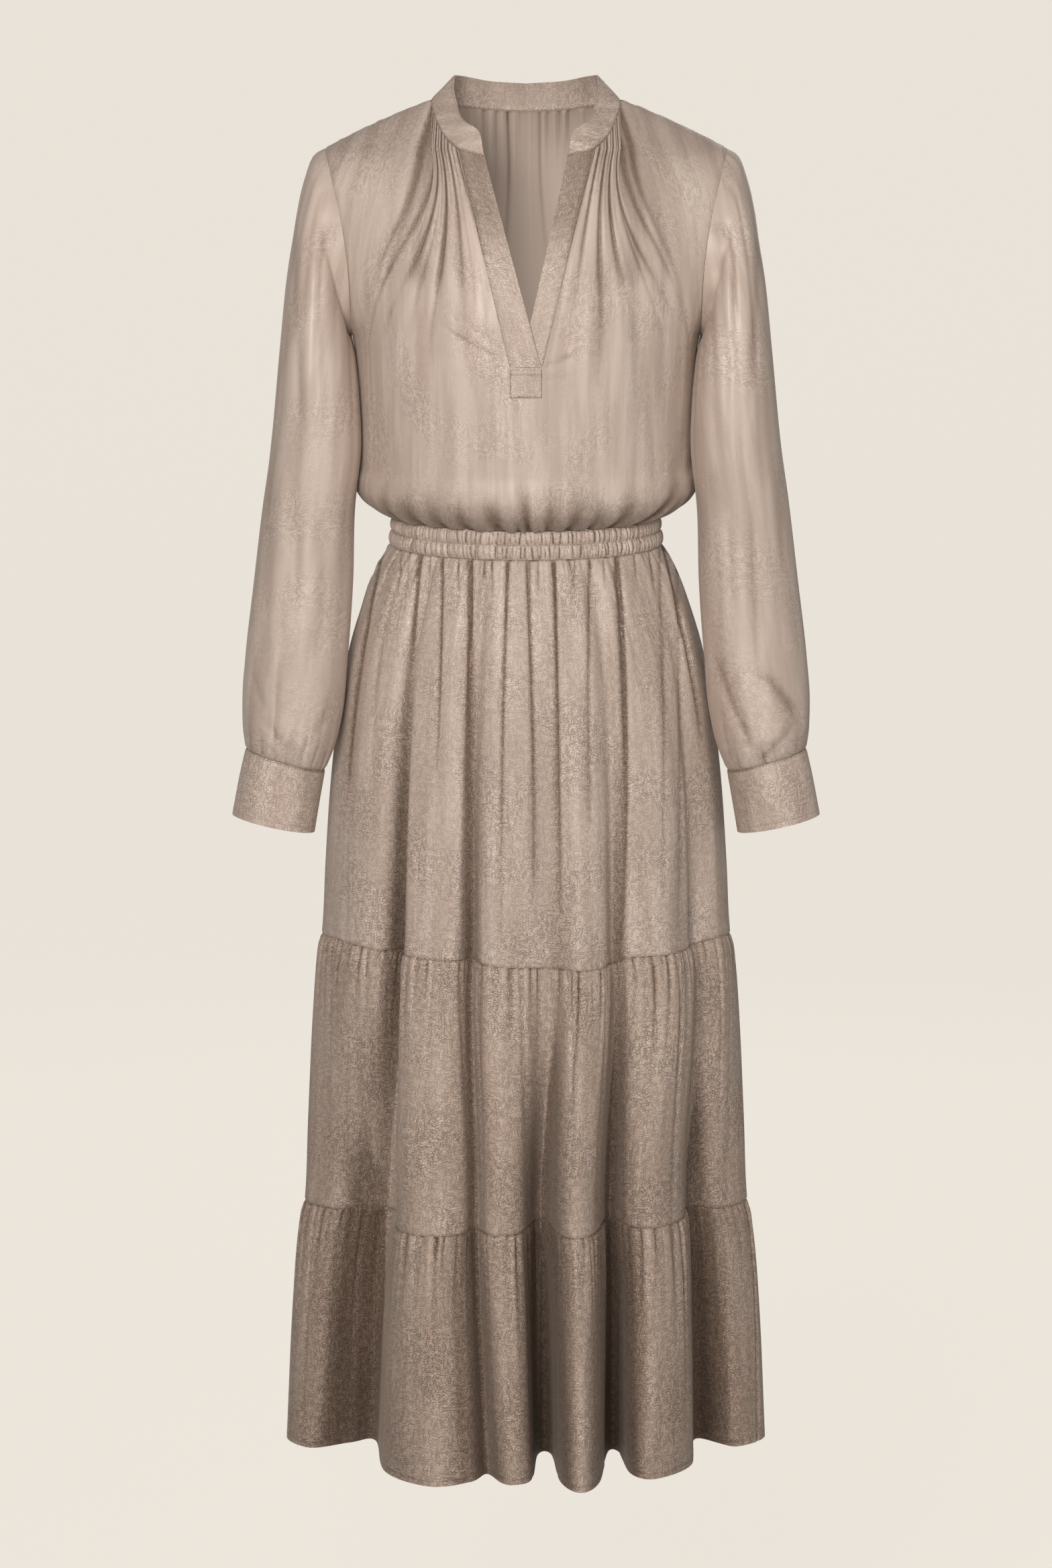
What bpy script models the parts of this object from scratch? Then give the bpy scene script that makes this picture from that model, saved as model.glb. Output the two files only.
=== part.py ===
"""Tiered midi dress in hammered satin, filled out as if worn, with no wearer.

Metres, +Z up, front towards -Y. The origin is midway between the two neck points of the shoulders,
where a wearer's shoulders hold the dress up. The tables are in millimetres. Each cut piece is a
wall of its own, and pieces that are sewn together lie a seam gap apart.
"""
import math

import bpy
import numpy as np

MM = 0.001

# Driving dimensions, in millimetres
CLOTH_WALL = 1.4            # wall of the cloth
SEAM_GAP = 0.34             # free space left at each seam
SEAM_REACH = 0.05           # points of two pieces closer than this are on one seam

NECK_X = 86.0               # neck point of the shoulder, from the centre
TIP_X = 183.0               # shoulder tip, from the centre
TIP_Z = -44.0
UNDERARM_Z = -214.0
ARMHOLE_DEPTH = 55.0        # how far the armhole bows forward and back
NOTCH_Z = -235.4            # bottom of the front neck opening
WAIST_TOP_Z = -379.0        # bodice meets the waistband
WAIST_LOW_Z = -405.0        # waistband meets the skirt
WAIST_TILT = 0.07           # the waist dips towards the front
SEAM1_Z = -768.0            # first tier meets the second
SEAM2_Z = -1022.0           # second tier meets the third
HEM_Z = -1250.0

COLLAR_FRONT_Z = -49.0      # lower front corner of the collar
PLACKET_TOP_X = 61.0        # top of the stitched seam beside the front opening
PLACKET_TOP_Z = -43.0
PLACKET_LOW_X = 14.7        # bottom of that seam
UNDER_EDGE_X = (37.4, -5.0)       # free edge of the under placket, top and bottom
OVER_EDGE_X = (-37.4, 13.4)       # free edge of the upper placket, top and bottom
PLACKET_LIFT = 1.5          # the upper placket stands this far out
PLACKET_SINK = 1.6          # the under placket lies this far in
TAB_LENGTH = 26.0
UNDERARM_GAP = 1.9          # the sleeve's edge stands clear where it folds back under the arm
SHARP_SEAM = 0.3            # cosine past which two pieces meet too sharply to share a face

ARM_ROWS = 10               # rows beside an armhole
NECK_COLUMNS = 10           # front columns from the placket to the neck point
BACK_NECK_COLUMNS = 9
SHOULDER_COLUMNS = 5
PLACKET_COLUMNS = 3
TIER_COLUMNS = (92, 100, 112)

NECK_GATHER = 1.5           # height of the gathers below the collar
WAIST_GATHER = 1.6
RUCHE = 0.9
WAIST_PUFF = 1.3            # how far each ruched row of the waistband stands out
COLLAR_BOW = 1.2            # how far the collar's middle stands out
SHOULDER_ROUND = 0.18       # how much the shoulder line bows up
TIER_GATHER = 2.6
ROLL = 0.9                  # how squarely the cloth turns at an armhole
TAB_LIFT = 0.45             # the tab stands this far off the front panel

COLOURS = {"satin": (0.435, 0.352, 0.287, 1.0)}
ROUGHNESS = 0.45

# Bodice, one row a level: half width, and depth to the front and to the back
BODICE = np.array([
    # z,    half_width, front, back
    (0.0,      86.0,    0.0,   0.0),
    (-1.0,     88.2,    5.0,  26.0),
    (-3.0,     92.6,   11.0,  50.0),
    (-6.0,     99.2,   16.5,  60.0),
    (-11.6,   111.6,   23.0,  65.5),
    (-16.5,   122.4,   28.5,  69.5),
    (-29.0,   149.9,   41.5,  77.5),
    (-44.0,   183.0,   57.0,  85.0),
    (-60.0,   178.4,   71.5,  90.0),
    (-75.0,   174.6,   81.0,  93.5),
    (-98.5,   168.8,   91.5,  97.5),
    (-130.0,  163.6,  101.5, 100.5),
    (-156.0,  160.8,  108.5, 101.0),
    (-185.0,  159.4,  114.5,  98.5),
    (-214.0,  158.4,  118.5,  95.5),
    (-224.0,  156.6,  119.5,  94.5),
    (-240.0,  155.2,  121.0,  93.0),
    (-260.0,  154.2,  121.0,  91.5),
    (-303.0,  152.6,  119.5,  91.0),
    (-330.0,  152.8,  118.5,  94.5),
    (-343.0,  156.6,  120.0,  98.5),
    (-351.0,  156.8,  120.5,  99.5),
    (-361.0,  151.6,  118.0,  97.5),
    (-371.0,  139.0,  108.5,  92.0),
    (-379.0,  121.0,   92.5,  84.0),
])
SIDE_LEVELS = (-275.0, -310.0, -336.0, -348.0, -359.0, -370.0)

# Neck seam, from the front corner of the collar round to the centre back, seen from the front
NECK_FRONT = np.array([
    # x,     z
    (61.0, -43.0),
    (69.5, -36.0),
    (77.0, -26.5),
    (82.6, -14.5),
    (85.4, -5.5),
    (86.0, 0.0),
])
NECK_BACK = np.array([
    # x,     z
    (86.0, 0.0),
    (80.0, -2.2),
    (66.0, -5.6),
    (45.0, -8.8),
    (22.0, -10.9),
    (0.0, -11.6),
])

# Top edge of the collar from the centre front to the centre back, as it leans over the neck
COLLAR_TOP = np.array([
    # share, x,   y,     z
    (0.00, 40.5, -54.5, -25.5),
    (0.10, 52.5, -49.0, -20.5),
    (0.20, 59.0, -38.5, -14.0),
    (0.30, 62.0, -25.0, -4.0),
    (0.40, 65.4,  -9.0,  11.0),
    (0.50, 64.6,  7.0,   21.5),
    (0.63, 56.0,  30.0,  20.0),
    (0.80, 31.0,  49.0,  15.0),
    (1.00, 0.0,   55.5,  13.0),
])

# Sleeve on the +X side, one row a ring: outer and inner point seen from the front, half depth
SLEEVE = np.array([
    # outer_x, outer_z, inner_x, inner_z, half_depth, forward
    (193.5,  -52.0,  162.6, -215.8,  55.0,  0.0),
    (201.0,  -72.0,  164.0, -220.0,  54.5,  0.5),
    (208.0, -102.0,  163.0, -229.0,  54.0,  2.0),
    (216.3, -157.0,  160.0, -246.0,  53.0,  6.0),
    (223.5, -225.0,  156.6, -275.0,  52.0, 14.0),
    (231.2, -303.0,  154.4, -318.0,  50.5, 24.0),
    (239.3, -363.5,  159.6, -368.0,  49.0, 30.0),
    (248.2, -435.0,  159.4, -438.0,  48.0, 34.0),
    (256.4, -503.0,  163.6, -508.0,  47.0, 38.0),
    (259.4, -545.0,  168.2, -556.0,  45.5, 40.0),
    (258.8, -573.0,  175.6, -587.0,  42.0, 42.0),
    (256.4, -589.0,  184.6, -609.0,  34.0, 43.0),
])
CUFF = np.array([
    # outer_x, outer_z, inner_x, inner_z, half_depth, forward
    (261.5, -611.0,  188.6, -631.0,  34.5, 44.0),
    (269.0, -649.5,  194.6, -666.0,  35.0, 45.0),
])

# Skirt, one row a level: half width, and depth to the front and to the back
SKIRT = np.array([
    # z,      half_width, front, back
    (-405.0,   124.2,   90.5,  83.5),
    (-413.0,   129.5,   94.5,  88.0),
    (-426.0,   137.0,   99.0,  95.0),
    (-460.0,   150.0,  107.0, 107.0),
    (-503.0,   163.0,  112.5, 117.0),
    (-546.0,   171.0,  115.0, 122.0),
    (-632.0,   181.0,  117.0, 128.0),
    (-700.0,   185.6,  118.0, 131.0),
    (-768.0,   189.5,  120.0, 134.0),
    (-780.0,   192.6,  123.0, 137.0),
    (-843.0,   198.2,  132.0, 141.0),
    (-945.0,   203.4,  143.0, 147.0),
    (-1022.0,  207.0,  150.0, 152.0),
    (-1034.0,  210.2,  153.0, 155.0),
    (-1126.0,  219.0,  159.0, 160.0),
    (-1250.0,  225.0,  165.0, 166.0),
])

# Lines of the large folds round the skirt, from the -X side over the front to +X and the back.
# bearing is the line's place at the first seam (0 is the front, 90 is +X) and sink its depth
# there; then its place at the second seam and at the hem, in shares of the ring's half sizes.
FOLD_LINES = np.array([
    # bearing, sink, seam_x, seam_y, hem_x,  hem_y
    (-90.0,   0.0, -1.000,  0.030, -1.000,  0.030),   # left side
    (-66.0,   3.0, -0.868, -0.235, -0.900, -0.235),   # left side fold
    (-48.0,   5.0, -0.700, -0.215, -0.735, -0.125),
    (-36.5,  34.0, -0.590, -0.270, -0.628, -0.080),   # recess behind the first front fold
    (-32.0,   5.0, -0.560, -0.850, -0.574, -0.745),
    (-25.0,  -4.0, -0.405, -1.010, -0.390, -1.050),   # first front fold
    (-19.2,   2.0, -0.280, -0.945, -0.226, -0.955),
    (-16.0,  20.0, -0.222, -0.795, -0.160, -0.790),
    (-12.2,   1.0, -0.168, -0.950, -0.100, -0.970),
    (-8.0,   -4.0, -0.112, -0.990, -0.050, -1.020),   # second front fold
    (-1.0,    2.0, -0.022, -0.905,  0.022, -0.905),
    (4.8,    10.0,  0.046, -0.580,  0.049, -0.380),   # recess
    (8.0,    10.0,  0.094, -0.580,  0.105, -0.380),
    (11.0,    3.0,  0.138, -0.935,  0.142, -0.960),
    (15.5,   -5.0,  0.222, -1.070,  0.222, -1.180),   # third front fold
    (22.2,    3.0,  0.304, -0.930,  0.298, -0.960),
    (25.8,   18.0,  0.356, -0.530,  0.336, -0.340),   # recess
    (28.0,   18.0,  0.394, -0.510,  0.384, -0.330),
    (31.5,    5.0,  0.448, -0.715,  0.428, -0.780),
    (42.0,   -3.0,  0.570, -0.775,  0.525, -0.895),   # fourth front fold
    (53.0,    5.0,  0.690, -0.560,  0.676, -0.610),
    (59.0,   15.0,  0.728, -0.190,  0.708, -0.045),   # recess
    (72.0,    2.0,  0.872, -0.220,  0.872, -0.210),   # right side fold
    (90.0,    0.0,  1.000,  0.030,  1.000,  0.030),   # right side
    (103.0,  10.0,  0.880,  0.330,  0.868,  0.320),
    (113.0,  -2.0,  0.850,  0.545,  0.860,  0.560),   # back folds
    (122.0,  -1.0,  0.765,  0.675,  0.770,  0.700),
    (133.0,  16.0,  0.640,  0.590,  0.620,  0.560),
    (142.0,  -2.0,  0.555,  0.800,  0.560,  0.835),
    (150.0,  -2.0,  0.455,  0.880,  0.465,  0.910),
    (158.0,  16.0,  0.352,  0.715,  0.345,  0.680),
    (165.0,  -3.0,  0.268,  0.950,  0.275,  0.985),
    (171.0,  -3.0,  0.165,  0.980,  0.170,  1.010),
    (177.0,  14.0,  0.065,  0.820,  0.070,  0.785),
    (184.0,  -3.0, -0.035,  0.975, -0.028,  1.015),
    (190.0,  -3.0, -0.150,  0.965, -0.150,  0.995),
    (196.0,  19.0, -0.245,  0.755, -0.245,  0.700),
    (202.0,  -3.0, -0.330,  0.930, -0.335,  0.965),
    (209.0,  -2.0, -0.450,  0.870, -0.455,  0.895),
    (217.0,  17.0, -0.550,  0.680, -0.555,  0.625),
    (226.0,  -2.0, -0.650,  0.750, -0.655,  0.775),
    (236.0,  -1.0, -0.770,  0.640, -0.775,  0.660),
    (249.0,  11.0, -0.850,  0.400, -0.850,  0.385),
])
FRONT_END = 23              # row of FOLD_LINES on the right side
FOLD_FADE = 1.15            # how fast the folds grow from the waist to the first seam
FOLD_START = 0.16           # share of a fold's depth already there at the waist
TIER_LEVELS = (
    (0.0, 0.022, 0.085, 0.20, 0.40, 0.68, 1.0),
    (0.0, 0.035, 0.16, 0.38, 0.68, 1.0),
    (0.0, 0.040, 0.20, 0.52, 1.0),
)


def smooth_step(value):
    """Ease from 0 to 1."""
    value = np.clip(value, 0.0, 1.0)
    return value * value * (3.0 - 2.0 * value)


def smooth_curve(stations, values, place):
    """Pass a smooth curve with no overshoot through a table column."""
    order = np.argsort(stations)
    knots = np.asarray(stations, float)[order]
    levels = np.asarray(values, float)[order]
    place = np.clip(np.asarray(place, float), knots[0], knots[-1])
    steps = np.diff(knots)
    slopes = np.diff(levels) / steps
    tangents = np.zeros_like(levels)
    same_way = slopes[:-1] * slopes[1:] > 0.0
    first = 2.0 * steps[1:] + steps[:-1]
    second = steps[1:] + 2.0 * steps[:-1]
    safe_low = np.where(same_way, slopes[:-1], 1.0)
    safe_high = np.where(same_way, slopes[1:], 1.0)
    tangents[1:-1] = np.where(same_way, (first + second) / (first / safe_low + second / safe_high), 0.0)
    tangents[0] = slopes[0]
    tangents[-1] = slopes[-1]
    span = np.clip(np.searchsorted(knots, place) - 1, 0, len(steps) - 1)
    width = steps[span]
    share = (place - knots[span]) / width
    rise = share * share * (3.0 - 2.0 * share)
    start = share * (1.0 - share) ** 2 * width * tangents[span]
    end = share * share * (share - 1.0) * width * tangents[span + 1]
    return levels[span] * (1.0 - rise) + levels[span + 1] * rise + start + end


def unevenness(count, seed):
    """Give a repeatable run of values between 0 and 1."""
    return np.random.RandomState(seed).rand(count)


# ---- bodice -------------------------------------------------------------------------------------

def armhole_bow(level):
    """How far the armhole edge lies in front of the shoulder line, or behind it."""
    middle = (TIP_Z + UNDERARM_Z) / 2.0
    half = (TIP_Z - UNDERARM_Z) / 2.0
    return ARMHOLE_DEPTH * np.sqrt(np.clip(1.0 - ((level - middle) / half) ** 2, 0.0, None))


def shoulder_line(share):
    """Distance from the centre, and level, along the shoulder seam from the neck point to the tip."""
    drop = share - SHOULDER_ROUND * share * (1.0 - share)
    return NECK_X + (TIP_X - NECK_X) * share, TIP_Z * drop


def bodice_width(level):
    """Half width of the bodice, out to the shoulder line and below that to the side."""
    lower = BODICE[BODICE[:, 0] <= TIP_Z]
    below = smooth_curve(lower[:, 0], lower[:, 1], level)
    line_x, line_z = shoulder_line(np.linspace(1.0, 0.0, 60))
    slope = np.interp(level, line_z, line_x)
    return np.where(np.asarray(level) > TIP_Z, slope, below)


def bodice_point(turn, level, side):
    """Point of the bodice at a turn (radians from the centre) and a level; side is -1 in front."""
    column = 2 if side < 0 else 3
    depth = smooth_curve(BODICE[:, 0], BODICE[:, column], level)
    width = bodice_width(level)
    bow = np.where(np.asarray(level) < TIP_Z, armhole_bow(level), 0.0)
    roll = 1.0 + ROLL * bow / ARMHOLE_DEPTH
    across = width * np.sin(turn)
    out = bow + (depth - bow) * np.clip(np.cos(turn), 0.0, 1.0) ** roll
    tilt = WAIST_TILT * smooth_step((-300.0 - level) / 79.0)
    return np.stack([across, side * out, level + tilt * side * out], axis=-1)


def turn_at(across, level):
    """Turn of the bodice point at a distance from the centre and a level."""
    return np.arcsin(np.clip(across / bodice_width(level), -1.0, 1.0))


def row_shares():
    """Share of each bodice row down its column: the armhole, then the side."""
    drop = TIP_Z - WAIST_TOP_Z
    angles = np.linspace(0.0, math.pi, ARM_ROWS + 1)
    arm = (TIP_Z - UNDERARM_Z) * (1.0 - np.cos(angles)) / 2.0 / drop
    side = [(TIP_Z - level) / drop for level in (NOTCH_Z,) + SIDE_LEVELS + (WAIST_TOP_Z,)]
    return np.concatenate([arm, side])


def top_row(neck, neck_columns):
    """Starts of the columns of half a panel, along the neck seam and then the shoulder seam."""
    along = np.concatenate([[0.0], np.cumsum(np.hypot(*np.diff(neck, axis=0).T))])
    places = np.linspace(0.0, along[-1], neck_columns + 1)
    neck_x = smooth_curve(along, neck[:, 0], places)
    neck_z = smooth_curve(along, neck[:, 1], places)
    tip_x, tip_z = shoulder_line(np.linspace(0.0, 1.0, SHOULDER_COLUMNS + 1)[1:])
    return np.concatenate([neck_x, tip_x]), np.concatenate([neck_z, tip_z])


def placket_seam(level):
    """Distance of the placket seam from the centre; below the opening it runs straight down."""
    share = np.clip((level - PLACKET_TOP_Z) / (NOTCH_Z - PLACKET_TOP_Z), 0.0, 1.0)
    return PLACKET_TOP_X + (PLACKET_LOW_X - PLACKET_TOP_X) * share


def half_panel(side):
    """Turns and levels of the rows and columns of half of a bodice panel, from the centre out."""
    if side < 0:
        start_x, start_z = top_row(NECK_FRONT, NECK_COLUMNS)
    else:
        start_x, start_z = top_row(NECK_BACK[::-1], BACK_NECK_COLUMNS)
    shares = row_shares()
    count = len(start_x) - 1
    at_tip = np.arcsin(start_x / TIP_X)
    inner = at_tip[0]
    top_share = (at_tip - inner) / (math.pi / 2.0 - inner)
    low_share = np.arange(count + 1) / count
    levels = start_z[None, :] + (WAIST_TOP_Z - start_z)[None, :] * shares[:, None]
    ease = smooth_step((TIP_Z - levels) / 200.0)
    place = top_share[None, :] * (1.0 - ease) + low_share[None, :] * ease
    centre = placket_seam(levels) if side < 0 else np.zeros_like(levels)
    centre_turn = turn_at(centre, levels)
    below_tip = centre_turn + (math.pi / 2.0 - centre_turn) * place
    above_tip = turn_at(start_x[None, :] * np.ones_like(levels), levels)
    turns = np.where(levels < TIP_Z, below_tip, above_tip)
    turns[:, -1] = math.pi / 2.0
    turns[0, -SHOULDER_COLUMNS - 1:] = math.pi / 2.0
    return turns, levels


def add_gathers(points, turns, levels, neck_columns, side, seed):
    """Raise soft gathers below the neck seam and above the waistband."""
    rows, columns = levels.shape
    odd = np.where(np.arange(columns) % 2 == 0, 1.0, -1.0)
    size = 0.55 + 0.9 * unevenness(columns, seed)
    length = 30.0 + 45.0 * unevenness(columns, seed + 1)
    below = levels[0][None, :] - levels
    neck = smooth_step(below / 9.0) * np.exp(-below / length[None, :])
    neck = neck * (np.arange(columns) < neck_columns)[None, :] * NECK_GATHER
    above = levels - WAIST_TOP_Z
    waist = smooth_step(above / 10.0) * np.exp(-((above - 12.0) / 26.0) ** 2) * WAIST_GATHER
    waist = waist * (np.arange(columns) < columns - 1)[None, :]
    height = (odd * size)[None, :] * (neck + waist)
    outward = np.stack([np.sin(turns), side * np.cos(turns), np.zeros_like(turns)], axis=-1)
    outward[:, 0, 0] = 0.0
    if side < 0:
        height[:, 0] = 0.0
    return points + outward * height[:, :, None]


def mirrored(points):
    """Copy of a grid on the -X side, its columns reversed."""
    return points[:, ::-1] * np.array([-1.0, 1.0, 1.0])


def front_bodice():
    """Front panel, with the neck opening left out between its two halves."""
    turns, levels = half_panel(-1)
    half = bodice_point(turns, levels, -1)
    half = add_gathers(half, turns, levels, NECK_COLUMNS, -1, 11)
    middle = bodice_point(np.zeros(len(levels)), levels[:, 0], -1)[:, None, :]
    points = np.concatenate([mirrored(half), middle, half], axis=1)
    cells = np.ones((points.shape[0] - 1, points.shape[1] - 1), bool)
    centre = half.shape[1] - 1
    cells[:ARM_ROWS + 1, centre:centre + 2] = False
    return points, cells


def back_bodice():
    """Back panel in one piece, its columns from -X to +X."""
    turns, levels = half_panel(1)
    half = bodice_point(turns, levels, 1)
    half = add_gathers(half, turns, levels, BACK_NECK_COLUMNS, 1, 31)
    return np.concatenate([mirrored(half), half[:, 1:]], axis=1), None


# ---- neck opening -------------------------------------------------------------------------------

def placket_rows():
    """Levels of the placket seam's points."""
    return half_panel(-1)[1][:ARM_ROWS + 2, 0]


def placket(edge, lift, hand):
    """One placket, from its sewn seam to its free edge; hand is +1 on the +X side."""
    seam_levels = placket_rows()
    share = np.linspace(0.0, 1.0, PLACKET_COLUMNS + 1)
    down = (seam_levels - PLACKET_TOP_Z) / (NOTCH_Z - PLACKET_TOP_Z)
    edge_levels = COLLAR_FRONT_Z + (NOTCH_Z - COLLAR_FRONT_Z) * down
    edge_x = edge[0] + (edge[1] - edge[0]) * down
    seam_x = hand * placket_seam(seam_levels)
    seam_x[-1] -= hand * SEAM_GAP
    seam_levels = seam_levels.copy()
    seam_levels[-1] += 2.0 * SEAM_GAP
    edge_levels[-1] += 2.0 * SEAM_GAP
    levels = seam_levels[:, None] * (1.0 - share) + edge_levels[:, None] * share
    across = seam_x[:, None] * (1.0 - share) + edge_x[:, None] * share
    points = bodice_point(turn_at(across, levels), levels, -1)
    rise = lift * smooth_step(share[None, :] / 0.6) * smooth_step(down[:, None] / 0.45)
    points[:, :, 1] -= rise
    return points


def tab():
    """Stitched box that closes the opening, lying on the front panel."""
    across = np.linspace(-PLACKET_LOW_X + 1.0, PLACKET_LOW_X - 1.3, 5)
    levels = np.linspace(NOTCH_Z - 0.8, NOTCH_Z - TAB_LENGTH, 4)
    grid_x, grid_z = np.meshgrid(across, levels)
    points = bodice_point(turn_at(grid_x, grid_z), grid_z, -1)
    points[:, :, 1] -= CLOTH_WALL + TAB_LIFT
    return points, None


def neck_seam():
    """Points of the neck seam from the front corner at -X round the back to +X."""
    front = front_bodice()[0][0]
    back = back_bodice()[0][0]
    centre = len(front) // 2
    first = placket(OVER_EDGE_X, PLACKET_LIFT, -1)[0]
    last = placket(UNDER_EDGE_X, -PLACKET_SINK, 1)[0]
    left_front = front[SHOULDER_COLUMNS:centre]
    right_front = front[centre + 1:len(front) - SHOULDER_COLUMNS]
    round_back = back[SHOULDER_COLUMNS:len(back) - SHOULDER_COLUMNS]
    parts = [first[::-1], left_front[::-1][1:], round_back[1:], right_front[::-1][1:], last[1:]]
    return np.concatenate(parts)


def collar():
    """Stand collar, from its top edge down to the neck seam."""
    seam = neck_seam()
    lengths = np.concatenate([[0.0], np.cumsum(np.linalg.norm(np.diff(seam, axis=0), axis=1))])
    share = 1.0 - np.abs(2.0 * lengths / lengths[-1] - 1.0)
    hand = np.sign(lengths - lengths[-1] / 2.0)
    edge_x = smooth_curve(COLLAR_TOP[:, 0], COLLAR_TOP[:, 1], share) * hand
    edge_y = smooth_curve(COLLAR_TOP[:, 0], COLLAR_TOP[:, 2], share)
    edge_z = smooth_curve(COLLAR_TOP[:, 0], COLLAR_TOP[:, 3], share)
    edge = np.stack([edge_x, edge_y, edge_z], axis=-1)
    middle = (seam + edge) / 2.0
    outward = middle * np.array([1.0, 1.0, 0.0])
    outward /= np.linalg.norm(outward, axis=1)[:, None]
    middle += outward * COLLAR_BOW
    return np.stack([edge, middle, seam], axis=0), None


# ---- sleeves ------------------------------------------------------------------------------------

def armhole():
    """Armhole seam on the +X side, from the shoulder tip down the front and up the back."""
    front = front_bodice()[0][:ARM_ROWS + 1, -1]
    back = back_bodice()[0][:ARM_ROWS + 1, -1]
    seam = np.concatenate([front, back[1:-1][::-1]])
    turns = np.linspace(0.0, 2.0 * math.pi, len(seam), endpoint=False)
    seam[:, 0] += UNDERARM_GAP * (0.5 - 0.5 * np.cos(turns)) ** 2
    return seam


def sleeve_ring(row):
    """Ring of a sleeve or cuff, its points in the order of the armhole's."""
    turns = np.linspace(0.0, 2.0 * math.pi, 2 * ARM_ROWS, endpoint=False)
    outer = np.array([row[0], -row[5], row[1]])
    inner = np.array([row[2], -row[5], row[3]])
    centre = (outer + inner) / 2.0
    reach = (outer - inner) / 2.0
    forward = np.array([0.0, -row[4], 0.0])
    return centre + reach * np.cos(turns)[:, None] + forward * np.sin(turns)[:, None]


def sleeve():
    """Sleeve on the +X side, from the armhole to the cuff seam."""
    return np.stack([armhole()] + [sleeve_ring(row) for row in SLEEVE]), None


def cuff():
    """Cuff on the +X side."""
    return np.stack([sleeve_ring(SLEEVE[-1])] + [sleeve_ring(row) for row in CUFF]), None


# ---- waist and skirt ----------------------------------------------------------------------------

def closed_spline(controls, places):
    """Smooth closed curve through control points; places count the points along it."""
    count = len(controls)
    index = np.floor(places).astype(int)
    share = (places - index)[:, None]
    before, start, end, after = [controls[(index + step) % count] for step in (-1, 0, 1, 2)]
    first = (end - before) / 2.0
    second = (after - start) / 2.0
    cube = share ** 3
    square = share ** 2
    return ((2 * cube - 3 * square + 1) * start + (cube - 2 * square + share) * first
            + (3 * square - 2 * cube) * end + (cube - square) * second)


def skirt_sizes(level):
    """Half width, front depth and back depth of the skirt at a level."""
    return [float(smooth_curve(SKIRT[:, 0], SKIRT[:, column], level)) for column in (1, 2, 3)]


def fold_controls(level):
    """Plan of the fold lines at a level, in millimetres."""
    width, front, back = skirt_sizes(level)
    bearing = np.radians(FOLD_LINES[:, 0])
    round_x = np.sin(bearing)
    round_y = -np.cos(bearing)
    depth = np.where(round_y < 0.0, front, back)
    normal = np.stack([round_x / width, round_y / depth], axis=-1)
    normal /= np.linalg.norm(normal, axis=1)[:, None]
    drop = np.clip((WAIST_LOW_Z - level) / (WAIST_LOW_Z - SEAM1_Z), 0.0, 1.0)
    growth = FOLD_START * min(1.0, drop * 12.0) + (1.0 - FOLD_START) * drop ** FOLD_FADE
    upper = np.stack([round_x * width, round_y * depth], axis=-1)
    upper -= normal * FOLD_LINES[:, 1:2] * growth
    seam_depth = np.where(FOLD_LINES[:, 3] < 0.0, front, back)
    seam = np.stack([FOLD_LINES[:, 2] * width, FOLD_LINES[:, 3] * seam_depth], axis=-1)
    hem_depth = np.where(FOLD_LINES[:, 5] < 0.0, front, back)
    hem = np.stack([FOLD_LINES[:, 4] * width, FOLD_LINES[:, 5] * hem_depth], axis=-1)
    to_seam = smooth_step((SEAM1_Z - level) / (SEAM1_Z - SEAM2_Z))
    to_hem = np.clip((SEAM2_Z - level) / (SEAM2_Z - HEM_Z), 0.0, 1.0)
    return (upper * (1.0 - to_seam) + seam * to_seam) * (1.0 - to_hem) + hem * to_hem


def skirt_ring(level, places):
    """Points of the skirt at a level."""
    plan = closed_spline(fold_controls(level), places)
    dip = WAIST_TILT * smooth_step((level - WAIST_LOW_Z) / 120.0 + 1.0)
    heights = level + dip * plan[:, 1]
    return np.concatenate([plan, heights[:, None]], axis=1)


def even_places(level, start, end, count):
    """Places evenly spaced along the folded ring between two fold lines."""
    dense = np.linspace(start, end, 1200)
    plan = skirt_ring(level, dense)
    along = np.concatenate([[0.0], np.cumsum(np.linalg.norm(np.diff(plan, axis=0), axis=1))])
    return np.interp(np.linspace(0.0, along[-1], count + 1), along, dense)


def openness(points):
    """Near 1 where the cloth runs straight along its row, and near 0 inside a tight fold."""
    padded = np.pad(points, ((0, 0), (2, 2), (0, 0)), mode="edge")
    chord = np.linalg.norm(padded[:, 4:] - padded[:, :-4], axis=2)
    steps = np.linalg.norm(np.diff(padded, axis=1), axis=2)
    path = steps[:, :-3] + steps[:, 1:-2] + steps[:, 2:-1] + steps[:, 3:]
    return (chord / np.maximum(path, 1e-6)) ** 3


def tier_panel(number, top, bottom, back):
    """Front or back panel of one tier, with gathers under its upper seam."""
    count = TIER_COLUMNS[number] // 2
    start = FRONT_END if back else 0
    end = len(FOLD_LINES) if back else FRONT_END
    middle = (top + 2.0 * bottom) / 3.0
    places = even_places(middle, start, end, count)
    levels = top + (bottom - top) * np.array(TIER_LEVELS[number])
    points = np.stack([skirt_ring(level, places) for level in levels])
    odd = np.where(np.arange(count + 1) % 2 == 0, 1.0, -1.0)
    size = 0.5 + unevenness(count + 1, 50 + number * 7 + back)
    size[0] = 0.0
    size[-1] = 0.0
    length = 22.0 + 40.0 * unevenness(count + 1, 90 + number * 7 + back)
    below = (top - levels)[:, None]
    fade = smooth_step(below / 7.0) * np.exp(-np.maximum(below - 7.0, 0.0) / length[None, :])
    tangent = np.gradient(points[:, :, :2], axis=1)
    outward = np.stack([tangent[:, :, 1], -tangent[:, :, 0]], axis=-1)
    outward /= np.linalg.norm(outward, axis=2)[:, :, None]
    height = (odd * size * TIER_GATHER)[None, :] * fade * openness(points)
    points[:, :, :2] += outward * height[:, :, None]
    return points, None


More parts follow.
